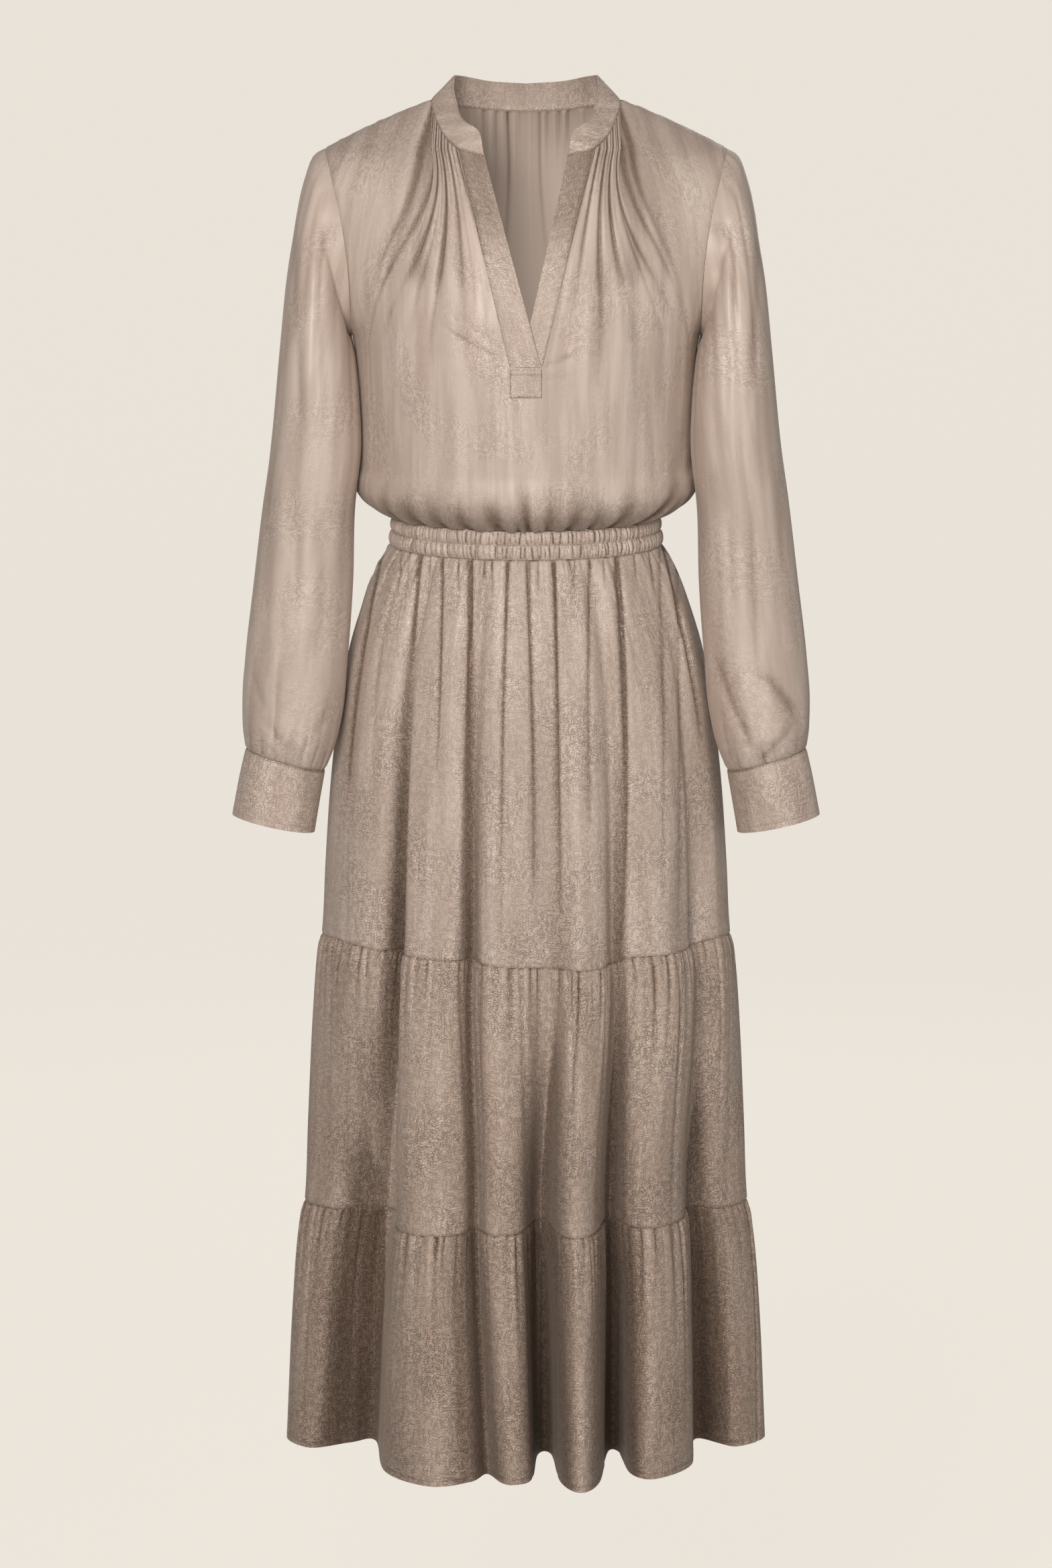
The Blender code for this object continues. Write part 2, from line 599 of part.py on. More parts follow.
def waistband():
    """Elastic waistband in two ruched rows, from the bodice down to the skirt."""
    front = front_bodice()[0][-1]
    back = back_bodice()[0][-1]
    ring = np.concatenate([front, back[1:-1][::-1]])
    turns = np.arctan2(ring[:, 0] / ring[:, 0].max(), -ring[:, 1] / 90.0)
    width, front_depth, back_depth = skirt_sizes(WAIST_LOW_Z)
    low_depth = np.where(np.cos(turns) > 0.0, front_depth, back_depth)
    low = np.stack([width * np.sin(turns), -low_depth * np.cos(turns), np.zeros_like(turns)], axis=-1)
    low[:, 2] = WAIST_LOW_Z + WAIST_TILT * low[:, 1]
    odd = np.where(np.arange(len(ring)) % 2 == 0, 1.0, -1.0)
    outward = np.stack([np.sin(turns), -np.cos(turns), np.zeros_like(turns)], axis=-1)
    size = RUCHE * (0.6 + 0.8 * unevenness(len(ring), 77)) * odd
    rows = []
    for share in (0.0, 0.25, 0.5, 0.75, 1.0):
        row = ring * (1.0 - share) + low * share
        puff = WAIST_PUFF * math.sin(2.0 * math.pi * share) ** 2
        row = row + outward * (puff + size * math.sin(math.pi * share))[:, None]
        rows.append(row)
    return np.stack(rows), None


# ---- walls --------------------------------------------------------------------------------------

class Piece:
    """A cut piece: a grid of points, which of its cells are cloth, and whether it closes round."""

    def __init__(self, name, grid, closed=False, level_rows=(), flip=False):
        self.name = name
        self.points, cells = grid
        if flip:
            self.points = self.points[:, ::-1]
            cells = None if cells is None else cells[:, ::-1]
        rows, columns = self.points.shape[:2]
        self.closed = closed
        self.level_rows = level_rows
        if cells is None:
            cells = np.ones((rows - 1, columns if closed else columns - 1), bool)
        self.cells = cells
        self.normals = self.find_normals()

    def corners(self, row, column):
        """Grid places of a cell's corners, counter-clockwise seen from outside."""
        following = (column + 1) % self.points.shape[1]
        return ((row, column), (row + 1, column), (row + 1, following), (row, following))

    def live_cells(self):
        return [(int(row), int(column)) for row, column in np.argwhere(self.cells)]

    def find_normals(self):
        """Outward normal at each point, from the cells around it."""
        total = np.zeros_like(self.points)
        for cell in self.live_cells():
            places = self.corners(*cell)
            first, second, third, fourth = [self.points[place] for place in places]
            normal = np.cross(third - first, fourth - second)
            for place in places:
                total[place] += normal
        length = np.linalg.norm(total, axis=2)
        total[length > 0.0] /= length[length > 0.0][:, None]
        return total

    def borders(self):
        """Edges of the cloth as pairs of grid places, in the direction of their cell."""
        edges = set()
        for cell in self.live_cells():
            places = self.corners(*cell)
            for index in range(4):
                edges.add((places[index], places[(index + 1) % 4]))
        return [edge for edge in edges if (edge[1], edge[0]) not in edges]

    def border_points(self):
        return sorted({place for edge in self.borders() for place in edge})

    def draw_back(self, shared):
        """Move the sewn border in by half a seam gap."""
        pulls = {}
        for start, end in self.borders():
            if start not in shared or end not in shared:
                continue
            along = self.points[end] - self.points[start]
            inward = np.cross(self.normals[start] + self.normals[end], along)
            inward /= np.linalg.norm(inward)
            pulls.setdefault(start, []).append(inward)
            pulls.setdefault(end, []).append(inward)
        moves = {}
        for place, found in pulls.items():
            if len(found) == 1:
                moves[place] = found[0] * SEAM_GAP / 2.0
                continue
            first, second = found[:2]
            moves[place] = (first + second) / (1.0 + max(float(first @ second), -0.5)) * SEAM_GAP / 2.0
        for place, move in moves.items():
            self.points[place] = self.points[place] + move


def share_seams(pieces):
    """Give points that are sewn together one normal, and open the seam gap between them."""
    found = {}
    for index, piece in enumerate(pieces):
        for place in piece.border_points():
            key = tuple(np.round(piece.points[place] / SEAM_REACH / 4.0).astype(int))
            found.setdefault(key, []).append((index, place))
    groups = []
    used = set()
    for key in sorted(found):
        if key in used:
            continue
        members = []
        for step in np.ndindex(3, 3, 3):
            near = (key[0] + step[0] - 1, key[1] + step[1] - 1, key[2] + step[2] - 1)
            if near in found and near not in used:
                members.extend(found[near])
                used.add(near)
        groups.append(members)
    shared = [set() for _ in pieces]
    for members in groups:
        if len({index for index, _ in members}) < 2:
            continue
        normals = [pieces[index].normals[place] for index, place in members]
        normal = sum(normals)
        normal = normal / np.linalg.norm(normal)
        if min(float(normal @ own) for own in normals) < SHARP_SEAM:
            continue
        for index, place in members:
            pieces[index].normals[place] = normal
            shared[index].add(place)
    for index, piece in enumerate(pieces):
        for row in piece.level_rows:
            flat = piece.normals[row].copy()
            flat[:, 2] = 0.0
            piece.normals[row] = flat / np.linalg.norm(flat, axis=1)[:, None]
            row_index = row % piece.points.shape[0]
            shared[index].update((row_index, column) for column in range(piece.points.shape[1]))
        piece.draw_back(shared[index])


def satin(name):
    """Material of one piece."""
    material = bpy.data.materials.new(name + "_satin")
    material.use_nodes = True
    shader = material.node_tree.nodes["Principled BSDF"]
    shader.inputs["Base Color"].default_value = COLOURS["satin"]
    shader.inputs["Roughness"].default_value = ROUGHNESS
    shader.inputs["Metallic"].default_value = 0.0
    material.diffuse_color = COLOURS["satin"]
    return material


def split_cell(piece, places):
    """Cut a cell along its shorter diagonal, the same on both faces of the cloth."""
    first, second, third, fourth = places
    down = np.linalg.norm(piece.points[first] - piece.points[third])
    across = np.linalg.norm(piece.points[second] - piece.points[fourth])
    if down <= across:
        return (first, second, third), (first, third, fourth)
    return (first, second, fourth), (second, third, fourth)


def build_wall(piece):
    """Turn a piece's grid into a closed wall of cloth."""
    places = sorted({place for cell in piece.live_cells() for place in piece.corners(*cell)})
    number = {place: index for index, place in enumerate(places)}
    count = len(places)
    half = CLOTH_WALL / 2.0
    outer = [(piece.points[place] + piece.normals[place] * half) * MM for place in places]
    inner = [(piece.points[place] - piece.normals[place] * half) * MM for place in places]
    faces = []
    for cell in piece.live_cells():
        places = piece.corners(*cell)
        for triangle in split_cell(piece, places):
            loop = [number[place] for place in triangle]
            faces.append(loop)
            faces.append([index + count for index in reversed(loop)])
    for start, end in piece.borders():
        first = number[start]
        second = number[end]
        faces.append([second, first, first + count])
        faces.append([second, first + count, second + count])
    mesh = bpy.data.meshes.new(piece.name)
    mesh.from_pydata([tuple(point) for point in outer + inner], [], faces)
    mesh.validate()
    mesh.shade_smooth()
    mesh.set_sharp_from_angle(angle=math.radians(50.0))
    mesh.materials.append(satin(piece.name))
    dress_piece = bpy.data.objects.new(piece.name, mesh)
    bpy.context.scene.collection.objects.link(dress_piece)
    return dress_piece


def left_and_right(name, maker, **options):
    """A piece on the +X side, the wearer's left, and its mirror image."""
    points, cells = maker()
    other = points * np.array([-1.0, 1.0, 1.0])
    return [
        Piece(name + "_left", (points, cells), flip=True, **options),
        Piece(name + "_right", (other, cells), **options),
    ]


def dress_pieces():
    """All cut pieces of the dress."""
    pieces = [
        Piece("collar_band", collar(), flip=True),
        Piece("placket_right", (placket(OVER_EDGE_X, PLACKET_LIFT, -1), None)),
        Piece("placket_left", (placket(UNDER_EDGE_X, -PLACKET_SINK, 1)[:, ::-1], None)),
        Piece("placket_tab", tab()),
        Piece("front_bodice", front_bodice()),
        Piece("back_bodice", back_bodice(), flip=True),
        Piece("waistband", waistband(), closed=True, level_rows=(-1,)),
    ]
    pieces += left_and_right("sleeve", sleeve, closed=True)
    pieces += left_and_right("cuff", cuff, closed=True)
    seams = (WAIST_LOW_Z, SEAM1_Z, SEAM2_Z, HEM_Z)
    for number in range(3):
        for back, word in ((False, "front"), (True, "back")):
            grid = tier_panel(number, seams[number], seams[number + 1], back)
            rows = (0, -1) if number < 2 else (0,)
            pieces.append(Piece("tier_%d_%s" % (number + 1, word), grid, level_rows=rows))
    return pieces


def main():
    for old in list(bpy.data.objects):
        bpy.data.objects.remove(old, do_unlink=True)
    pieces = dress_pieces()
    share_seams(pieces)
    for piece in pieces:
        build_wall(piece)


main()
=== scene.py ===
import math

import bpy
import numpy as np
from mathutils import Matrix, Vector


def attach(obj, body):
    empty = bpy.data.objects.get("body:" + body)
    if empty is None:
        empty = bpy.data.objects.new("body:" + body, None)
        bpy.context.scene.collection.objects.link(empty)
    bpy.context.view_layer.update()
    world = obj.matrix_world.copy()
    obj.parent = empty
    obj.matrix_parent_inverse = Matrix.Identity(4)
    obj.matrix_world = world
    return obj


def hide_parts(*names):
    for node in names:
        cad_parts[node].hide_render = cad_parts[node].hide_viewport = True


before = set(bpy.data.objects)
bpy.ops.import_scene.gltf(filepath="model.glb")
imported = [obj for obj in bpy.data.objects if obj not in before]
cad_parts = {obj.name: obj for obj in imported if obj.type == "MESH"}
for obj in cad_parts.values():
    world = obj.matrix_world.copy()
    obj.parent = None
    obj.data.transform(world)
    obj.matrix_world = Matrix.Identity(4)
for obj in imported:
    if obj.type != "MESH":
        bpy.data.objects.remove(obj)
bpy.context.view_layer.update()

mm = 0.001
flip = np.array([-1.0, 1.0, 1.0])   # turns one side of the dress into the other

# Front towards -Y, the wearer's left at +X. Lengths of the dress are in millimetres, the studio's in metres.
camera = {
    "place": (0.0, -5.0, 0.10),
    "lookDown": 8.2933,         # degrees below level
    "lens": 125.36,
    "sensor": 36.0,
}
studio = {
    "floorZ": -1.62,
    "floorFront": -9.0,
    "wallY": 11.0,
    "bend": 2.4,                # radius of the sweep between floor and wall
    "halfWidth": 9.0,
    "wallTop": 6.0,
    "paper": (0.838, 0.784, 0.708),
    "paperShade": 0.12,         # how much of the paper's tone comes from the lamps
    "air": (1.0, 0.965, 0.925),
    "airStrength": 0.24,
}
lights = [
    # name,    place,               aimed at,           width, height, watts, colour
    ("key",   (-0.7, -3.4, 0.55),  (0.0, 0.0, -0.45),   1.3,   1.3,   112.0, (1.0, 0.98, 0.965)),
    ("fill",  (2.4, -3.0, 0.2),    (0.0, 0.0, -0.5),    1.6,   2.2,    34.0, (1.0, 0.98, 0.965)),
    ("rear",  (0.5, 3.8, 0.6),     (0.0, 0.0, -0.6),    2.0,   2.0,    24.0, (1.0, 0.98, 0.965)),
    ("inner", (0.0, -0.03, -0.20), (0.0, 0.5, -0.16),   0.10,  0.16,    0.115, (1.0, 0.98, 0.97)),
]


def smoothStep(value):
    value = np.clip(value, 0.0, 1.0)
    return value * value * (3.0 - 2.0 * value)


def bell(offset):
    return np.exp(-offset ** 2)


def smoothCurve(stations, values, place):
    # a smooth curve with no overshoot through one column of a table
    order = np.argsort(stations)
    knots = np.asarray(stations, float)[order]
    levels = np.asarray(values, float)[order]
    place = np.clip(np.asarray(place, float), knots[0], knots[-1])
    steps = np.diff(knots)
    slopes = np.diff(levels) / steps
    tangents = np.zeros_like(levels)
    sameWay = slopes[:-1] * slopes[1:] > 0.0
    first = 2.0 * steps[1:] + steps[:-1]
    second = steps[1:] + 2.0 * steps[:-1]
    safeLow = np.where(sameWay, slopes[:-1], 1.0)
    safeHigh = np.where(sameWay, slopes[1:], 1.0)
    tangents[1:-1] = np.where(sameWay, (first + second) / (first / safeLow + second / safeHigh), 0.0)
    tangents[0] = slopes[0]
    tangents[-1] = slopes[-1]
    span = np.clip(np.searchsorted(knots, place) - 1, 0, len(steps) - 1)
    width = steps[span]
    share = (place - knots[span]) / width
    rise = share * share * (3.0 - 2.0 * share)
    start = share * (1.0 - share) ** 2 * width * tangents[span]
    end = share * share * (share - 1.0) * width * tangents[span + 1]
    return levels[span] * (1.0 - rise) + levels[span + 1] * rise + start + end


def easedBetween(share, start, end, leaving, arriving):
    # cubic between two points, with the slopes at both
    square = share ** 2
    cube = share ** 3
    return ((2.0 * cube - 3.0 * square + 1.0) * start + (cube - 2.0 * square + share) * leaving
            + (3.0 * square - 2.0 * cube) * end + (cube - square) * arriving)


def trough(offset):
    # soft valley between two low, broad lips, with no net sink
    return bell(offset / 0.7) - 0.41 * bell(offset / 1.7)


def slit(offset):
    # sharp valley between two rounded pleats
    return np.exp(-np.abs(offset) ** 1.25) - 0.34 * bell(offset / 2.7)


def gathered(along, below, gathers, easeIn=3.0):
    # height of gathers that start at a seam; each row is place, width, depth, length, drift
    height = np.zeros(np.broadcast(along, below).shape)
    for place, width, depth, length, drift in gathers:
        spread = width * (1.0 + 0.8 * below / length)
        offset = (along - place - drift * below) / spread
        height -= depth * slit(offset) * np.exp(-(below / length) ** 1.6)
    return height * smoothStep(below / easeIn)


def manyGathers(start, end, spacing, seed, width, depth, lengths, drift=0.05):
    # unevenly spaced gathers; lengths is the short, the middling and the long one
    draw = np.random.RandomState(seed)
    rows = []
    place = start + spacing * draw.rand()
    while place < end:
        kind = draw.rand()
        length = lengths[0] if kind < 0.5 else lengths[1] if kind < 0.85 else lengths[2]
        rows.append((
            place,
            width * (0.6 + 0.8 * draw.rand()),
            depth * (0.35 + 1.1 * draw.rand()),
            length * (0.65 + 0.7 * draw.rand()),
            drift * (2.0 * draw.rand() - 1.0),
        ))
        place += spacing * (0.5 + draw.rand())
    return rows


def softBands(along, below, *kind):
    # broad shallow folds that run on down the cloth from a seam
    height = np.zeros(np.broadcast(along, below).shape)
    for place, width, depth, length, drift in manyGathers(along.min(), along.max(), *kind):
        offset = (along - place - drift * below) / (width * (1.0 + 0.5 * below / length))
        height -= depth * trough(offset) * bell(below / length)
    return height


def creased(points, creases):
    # soft creases in the plane of the picture: start, end, width, depth and sideways bend
    across, up = points[..., 0], points[..., 2]
    height = np.zeros_like(across)
    for startX, startZ, endX, endZ, width, depth, bend in creases:
        runX = endX - startX
        runZ = endZ - startZ
        run = math.hypot(runX, runZ)
        share = ((across - startX) * runX + (up - startZ) * runZ) / run ** 2
        side = ((up - startZ) * runX - (across - startX) * runZ) / run
        inside = np.clip(share, 0.0, 1.0)
        side = side - bend * 4.0 * inside * (1.0 - inside)
        taper = smoothStep(share / 0.25) * smoothStep((1.0 - share) / 0.45)
        height -= depth * trough(side / width) * taper
    return height


def lengthsAlong(points):
    # running length along a line of points, or down the rows of a grid
    steps = np.linalg.norm(np.diff(points, axis=0), axis=-1)
    return np.concatenate([np.zeros((1, *steps.shape[1:])), np.cumsum(steps, axis=0)])


def lengthsAcross(points):
    return lengthsAlong(points.swapaxes(0, 1)).T


def pointsAt(places, lengths, line):
    # points of a line at some running lengths
    return np.stack([np.interp(places, lengths, line[:, axis]) for axis in range(3)], axis=-1)


def outwards(points, closed=False):
    # unit normals of a grid whose columns run to the right as seen from outside
    if closed:
        ring = np.concatenate([points[:, -1:], points, points[:, :1]], axis=1)
        across = (ring[:, 2:] - ring[:, :-2]) / 2.0
    else:
        across = np.gradient(points, axis=1)
    normal = np.cross(np.gradient(points, axis=0), across)
    return normal / np.maximum(np.linalg.norm(normal, axis=2, keepdims=True), 1e-9)


def moveOut(points, height, closed=False):
    return points + outwards(points, closed) * height[:, :, None]


def closedUp(points):
    # the first column once more at the end, so that the seam of a tube has both its edges
    return np.concatenate([points, points[:, :1]], axis=1)


def seamRoll(distance, sink=0.75, reach=1.5):
    # a sewn edge turns in a little
    return -sink * bell(distance / reach)


# camera, floor and light
def addObject(name, data):
    item = bpy.data.objects.new(name, data)
    bpy.context.scene.collection.objects.link(item)
    return item


def addCamera():
    lens = bpy.data.cameras.new("camera")
    lens.lens = camera["lens"]
    lens.sensor_width = camera["sensor"]
    lens.sensor_fit = "AUTO"
    viewer = addObject("camera", lens)
    viewer.location = camera["place"]
    viewer.rotation_euler = (math.radians(90.0 - camera["lookDown"]), 0.0, 0.0)
    bpy.context.scene.camera = viewer


def addBackdrop():
    # floor and wall in one smooth sweep of paper
    floor, wall, bend, half = [studio[key] for key in ("floorZ", "wallY", "bend", "halfWidth")]
    turns = np.linspace(0.0, math.pi / 2.0, 24)
    profile = [(studio["floorFront"], floor)]
    profile += [(wall - bend + bend * math.sin(turn), floor + bend - bend * math.cos(turn)) for turn in turns]
    profile.append((wall, studio["wallTop"]))
    corners = [(side * half, y, z) for y, z in profile for side in (-1.0, 1.0)]
    faces = [(2 * row, 2 * row + 1, 2 * row + 3, 2 * row + 2) for row in range(len(profile) - 1)]
    mesh = bpy.data.meshes.new("backdrop")
    mesh.from_pydata(corners, [], faces)
    mesh.shade_smooth()
    paper, tree, shader = newMaterial("backdropPaper")
    setInputs(tree, shader, {
        "Base Color": [part * studio["paperShade"] for part in studio["paper"]] + [1.0],
        "Roughness": 0.95,
        "Specular IOR Level": 0.0,
        "Emission Color": studio["paper"] + (1.0,),
        "Emission Strength": 1.0 - 0.5 * studio["paperShade"],
    })
    mesh.materials.append(paper)
    backdrop = addObject("backdrop", mesh)
    backdrop.visible_diffuse = False
    backdrop.visible_glossy = False
    backdrop.visible_shadow = False


def addLights():
    world = bpy.data.worlds.new("studioAir")
    world.use_nodes = True
    air = world.node_tree.nodes["Background"]
    air.inputs["Color"].default_value = studio["air"] + (1.0,)
    air.inputs["Strength"].default_value = studio["airStrength"]
    bpy.context.scene.world = world
    for name, place, target, width, height, watts, colour in lights:
        lamp = bpy.data.lights.new(name, "AREA")
        lamp.shape = "RECTANGLE"
        lamp.size = width
        lamp.size_y = height
        lamp.energy = watts
        lamp.color = colour
        stand = addObject(name, lamp)
        stand.location = place
        stand.rotation_euler = (Vector(target) - Vector(place)).to_track_quat("-Z", "Y").to_euler()


satin = {
    # light and dark: the two ends of the painted sheen streaks
    "light": (0.502, 0.410, 0.347),
    "dark": (0.408, 0.322, 0.266),
    "warm": (0.425, 0.316, 0.262),
    "inside": (0.420, 0.335, 0.278),
    "shadeColour": (0.40, 0.355, 0.315),     # painted shade: what a deep fold keeps of the cloth's colour
    "ridgeHighlight": 1.13,              # painted highlight: how much lighter a pleat's top is
    "pebble": 370.0,            # pebbles a metre
    "pebbleTone": 0.34,         # how much darker the joints between pebbles are
    "patches": 15.0,            # patches of stronger pebbles a metre
    "wander": 110.0,            # how finely the pebbles are pushed about, and how far
    "wanderReach": (0.006, 0.005, 0.0),
    "flecks": (430.0, 150.0),   # short bright flecks a metre, across and along their run
    "fleckPatches": 75.0,       # patches of upright and level flecks a metre
    "fleckTone": 0.32,
    "streaks": 62.0,            # painted sheen streaks a metre
    "streakStretch": 0.11,
    "blush": 26.0,              # rosy clouds a metre
    "roughness": 0.46,
    "bump": 0.6,
    "bumpHeight": 0.0005,
    "sheen": 0.20,
    "sheenTint": (0.92, 0.76, 0.64, 1.0),
    "shineTint": (1.0, 0.90, 0.82, 1.0),
    "insideBump": 0.15,
    "insideThreads": 900.0,     # threads a metre on the plain side
}
threadDark = (0.17, 0.125, 0.095, 1.0)
threadLight = (0.27, 0.205, 0.16, 1.0)


def newMaterial(name):
    material = bpy.data.materials.new(name)
    material.use_nodes = True
    tree = material.node_tree
    shader = tree.nodes["Principled BSDF"]
    shader.location = (1300, 0)
    tree.nodes["Material Output"].location = (1600, 0)
    return material, tree, shader


def setInputs(tree, node, inputs):
    # each input is a value or the output of another node
    for socket, value in inputs.items():
        if hasattr(value, "links"):
            tree.links.new(value, node.inputs[socket])
        else:
            node.inputs[socket].default_value = value


def addNode(tree, kind, x, y, inputs, **settings):
    node = tree.nodes.new(kind)
    node.location = (x, y)
    for key, value in settings.items():
        setattr(node, key, value)
    setInputs(tree, node, inputs)
    return node


def mixColour(tree, x, y, factor, first, second, blend="MIX"):
    inputs = {0: factor, 6: first, 7: second}
    return addNode(tree, "ShaderNodeMix", x, y, inputs, data_type="RGBA", blend_type=blend).outputs[2]


def mathNode(tree, x, y, operation, first, second, third=0.0, clamp=False):
    inputs = {0: first, 1: second, 2: third}
    return addNode(tree, "ShaderNodeMath", x, y, inputs, operation=operation, use_clamp=clamp).outputs[0]


def rangeNode(tree, x, y, value, low, high, newLow=0.0, newHigh=1.0):
    inputs = {0: value, 1: low, 2: high, 3: newLow, 4: newHigh}
    return addNode(tree, "ShaderNodeMapRange", x, y, inputs, interpolation_type="SMOOTHSTEP").outputs[0]


def noiseNode(tree, x, y, place, scale, detail, roughness=0.5, dimensions="2D"):
    inputs = {"Vector": place, "Scale": scale, "Detail": detail, "Roughness": roughness}
    return addNode(tree, "ShaderNodeTexNoise", x, y, inputs, noise_dimensions=dimensions).outputs


def stretchNode(tree, x, y, place, acrossScale, alongScale):
    inputs = {"Vector": place, "Scale": (acrossScale, alongScale, 1.0)}
    return addNode(tree, "ShaderNodeMapping", x, y, inputs).outputs[0]


def bumpNode(tree, x, y, height, strength, distance):
    inputs = {"Height": height, "Strength": strength, "Distance": distance}
    return addNode(tree, "ShaderNodeBump", x, y, inputs).outputs[0]


def clothPlace(tree):
    # flat place on the cloth, and the painted shade that each point takes from how deep it lies in its folds
    # and from shaded places
    uv = addNode(tree, "ShaderNodeUVMap", -1500, 0, {}, uv_map="cloth").outputs[0]
    paintedShade = addNode(tree, "ShaderNodeAttribute", -1500, 300, {}, attribute_name="reliefAndPaintedShade").outputs["Fac"]
    return uv, paintedShade


def scaled(colour, brightness):
    # a value below one makes the colour darker and a little browner; on the lower tiers this darkening is
    # painted shade
    return (colour[0] * brightness, colour[1] * brightness ** 1.2, colour[2] * brightness ** 1.4, 1.0)


def paintShade(tree, colour, reliefAndPaintedShade):
    # painted shade, darker and warmer, down in the folds, and a painted highlight on the pleats
    deep = rangeNode(tree, 340, 320, reliefAndPaintedShade, -0.02, -1.0)
    high = rangeNode(tree, 340, 520, reliefAndPaintedShade, 0.02, 0.6)
    ridgeHighlight = satin["ridgeHighlight"]
    shaded = mixColour(tree, 540, 320, 1.0, colour, satin["shadeColour"] + (1.0,), "MULTIPLY")
    colour = mixColour(tree, 700, 320, deep, colour, shaded)
    lifted = mixColour(tree, 700, 520, 1.0, colour, (ridgeHighlight, ridgeHighlight, ridgeHighlight, 1.0), "MULTIPLY")
    return mixColour(tree, 860, 320, high, colour, lifted)


def flecks(tree, place):
    # a maze of short raised dashes, upright in some patches and level in others
    many, few = satin["flecks"]
    dashes = []
    for y, sizes in ((-1000, (many, few)), (-1300, (few, many))):
        turned = stretchNode(tree, -900, y, place, *sizes)
        dash = noiseNode(tree, -700, y, turned, 1.0, 1.0)["Fac"]
        dashes.append(rangeNode(tree, -480, y, dash, 0.44, 0.58))
    choice = noiseNode(tree, -700, -1600, place, satin["fleckPatches"], 1.0)["Fac"]
    level = rangeNode(tree, -480, -1600, choice, 0.50, 0.58)
    inputs = {0: level, 2: dashes[0], 3: dashes[1]}
    return addNode(tree, "ShaderNodeMix", -260, -1200, inputs, data_type="FLOAT").outputs[0]


def satinMaterial(name, piece):
    # hammered satin: small uneven pebbles, stronger in patches, and long soft streaks of painted sheen down the
    # cloth; the piece gives how bright it is, darker on the lower tiers as painted shade, how strong its
    # pebbles are, and how patchy
    brightness, reliefAndPaintedShade, patch = [piece[key] for key in ("brightness", "reliefAndPaintedShade", "patch")]
    material, tree, shader = newMaterial(name)
    uv, paintedShade = clothPlace(tree)
    wander = noiseNode(tree, -1300, 300, uv, satin["wander"], 3.0)["Color"]
    shift = addNode(tree, "ShaderNodeVectorMath", -1100, 300, {0: wander, 1: satin["wanderReach"], 2: uv},
                    operation="MULTIPLY_ADD").outputs[0]
    squeezed = stretchNode(tree, -900, 300, shift, 1.0, 1.35)
    cells = addNode(tree, "ShaderNodeTexVoronoi", -700, 420, {"Vector": squeezed, "Scale": satin["pebble"]},
                    voronoi_dimensions="2D", feature="DISTANCE_TO_EDGE").outputs["Distance"]
    grain = noiseNode(tree, -700, 120, squeezed, satin["pebble"] * 1.1, 3.0, 0.65)["Fac"]
    patches = noiseNode(tree, -700, -160, uv, satin["patches"], 4.0)["Fac"]
    strength = rangeNode(tree, -480, -160, patches, 0.42, 0.66, 1.0 - patch, 1.0)
    # pebbles show stronger where the painted fold shade is deep
    strength = mathNode(tree, -300, -160, "MULTIPLY_ADD", paintedShade, -0.6, strength, clamp=True)

    # painted sheen: long streaks of lighter and darker colour
    stretched = stretchNode(tree, -900, -420, uv, 1.0, satin["streakStretch"])
    streaks = noiseNode(tree, -700, -420, stretched, satin["streaks"], 3.0, 0.55)["Fac"]
    streak = rangeNode(tree, -480, -420, streaks, 0.34, 0.68)
    blush = noiseNode(tree, -700, -700, stretched, satin["blush"], 5.0)["Fac"]
    rosy = rangeNode(tree, -480, -700, blush, 0.52, 0.80, 0.0, 0.40)

    # pebbles: rounded tops, darker joints
    top = rangeNode(tree, -480, 420, cells, 0.0, 0.22)
    hammered = mathNode(tree, -260, 300, "MULTIPLY_ADD", grain, 0.9, top)
    bumpHeight = mathNode(tree, -60, 300, "MULTIPLY", hammered, strength)
    base = mixColour(tree, -60, 0, streak, scaled(satin["dark"], brightness), scaled(satin["light"], brightness))
    base = mixColour(tree, 140, 0, rosy, base, scaled(satin["warm"], brightness))
    joint = rangeNode(tree, -60, -200, hammered, 0.35, 1.40)
    depth = satin["pebbleTone"] * reliefAndPaintedShade
    shine = satin["fleckTone"] * reliefAndPaintedShade
    shade = mathNode(tree, 140, -200, "MULTIPLY_ADD", joint, depth, 1.0 - 0.60 * depth - 0.45 * shine)
    shade = mathNode(tree, 240, -300, "MULTIPLY_ADD", flecks(tree, shift), shine, shade)
    grey = addNode(tree, "ShaderNodeCombineColor", 340, -200, {0: shade, 1: shade, 2: shade}).outputs[0]
    pebbled = mixColour(tree, 340, 0, 1.0, base, grey, "MULTIPLY")
    base = mixColour(tree, 540, 0, strength, base, pebbled)

    rough = mathNode(tree, 340, -420, "MULTIPLY_ADD", streak, -0.08, satin["roughness"] + 0.06)
    setInputs(tree, shader, {
        "Base Color": paintShade(tree, base, paintedShade),
        "Roughness": mathNode(tree, 540, -420, "MULTIPLY_ADD", joint, -0.06, rough),
        "Normal": bumpNode(tree, 840, -640, bumpHeight, satin["bump"] * reliefAndPaintedShade, satin["bumpHeight"]),
        "Specular IOR Level": 0.42,
        "Specular Tint": satin["shineTint"],
        "Sheen Weight": satin["sheen"],
        "Sheen Roughness": 0.45,
        "Sheen Tint": satin["sheenTint"],
    })
    return material


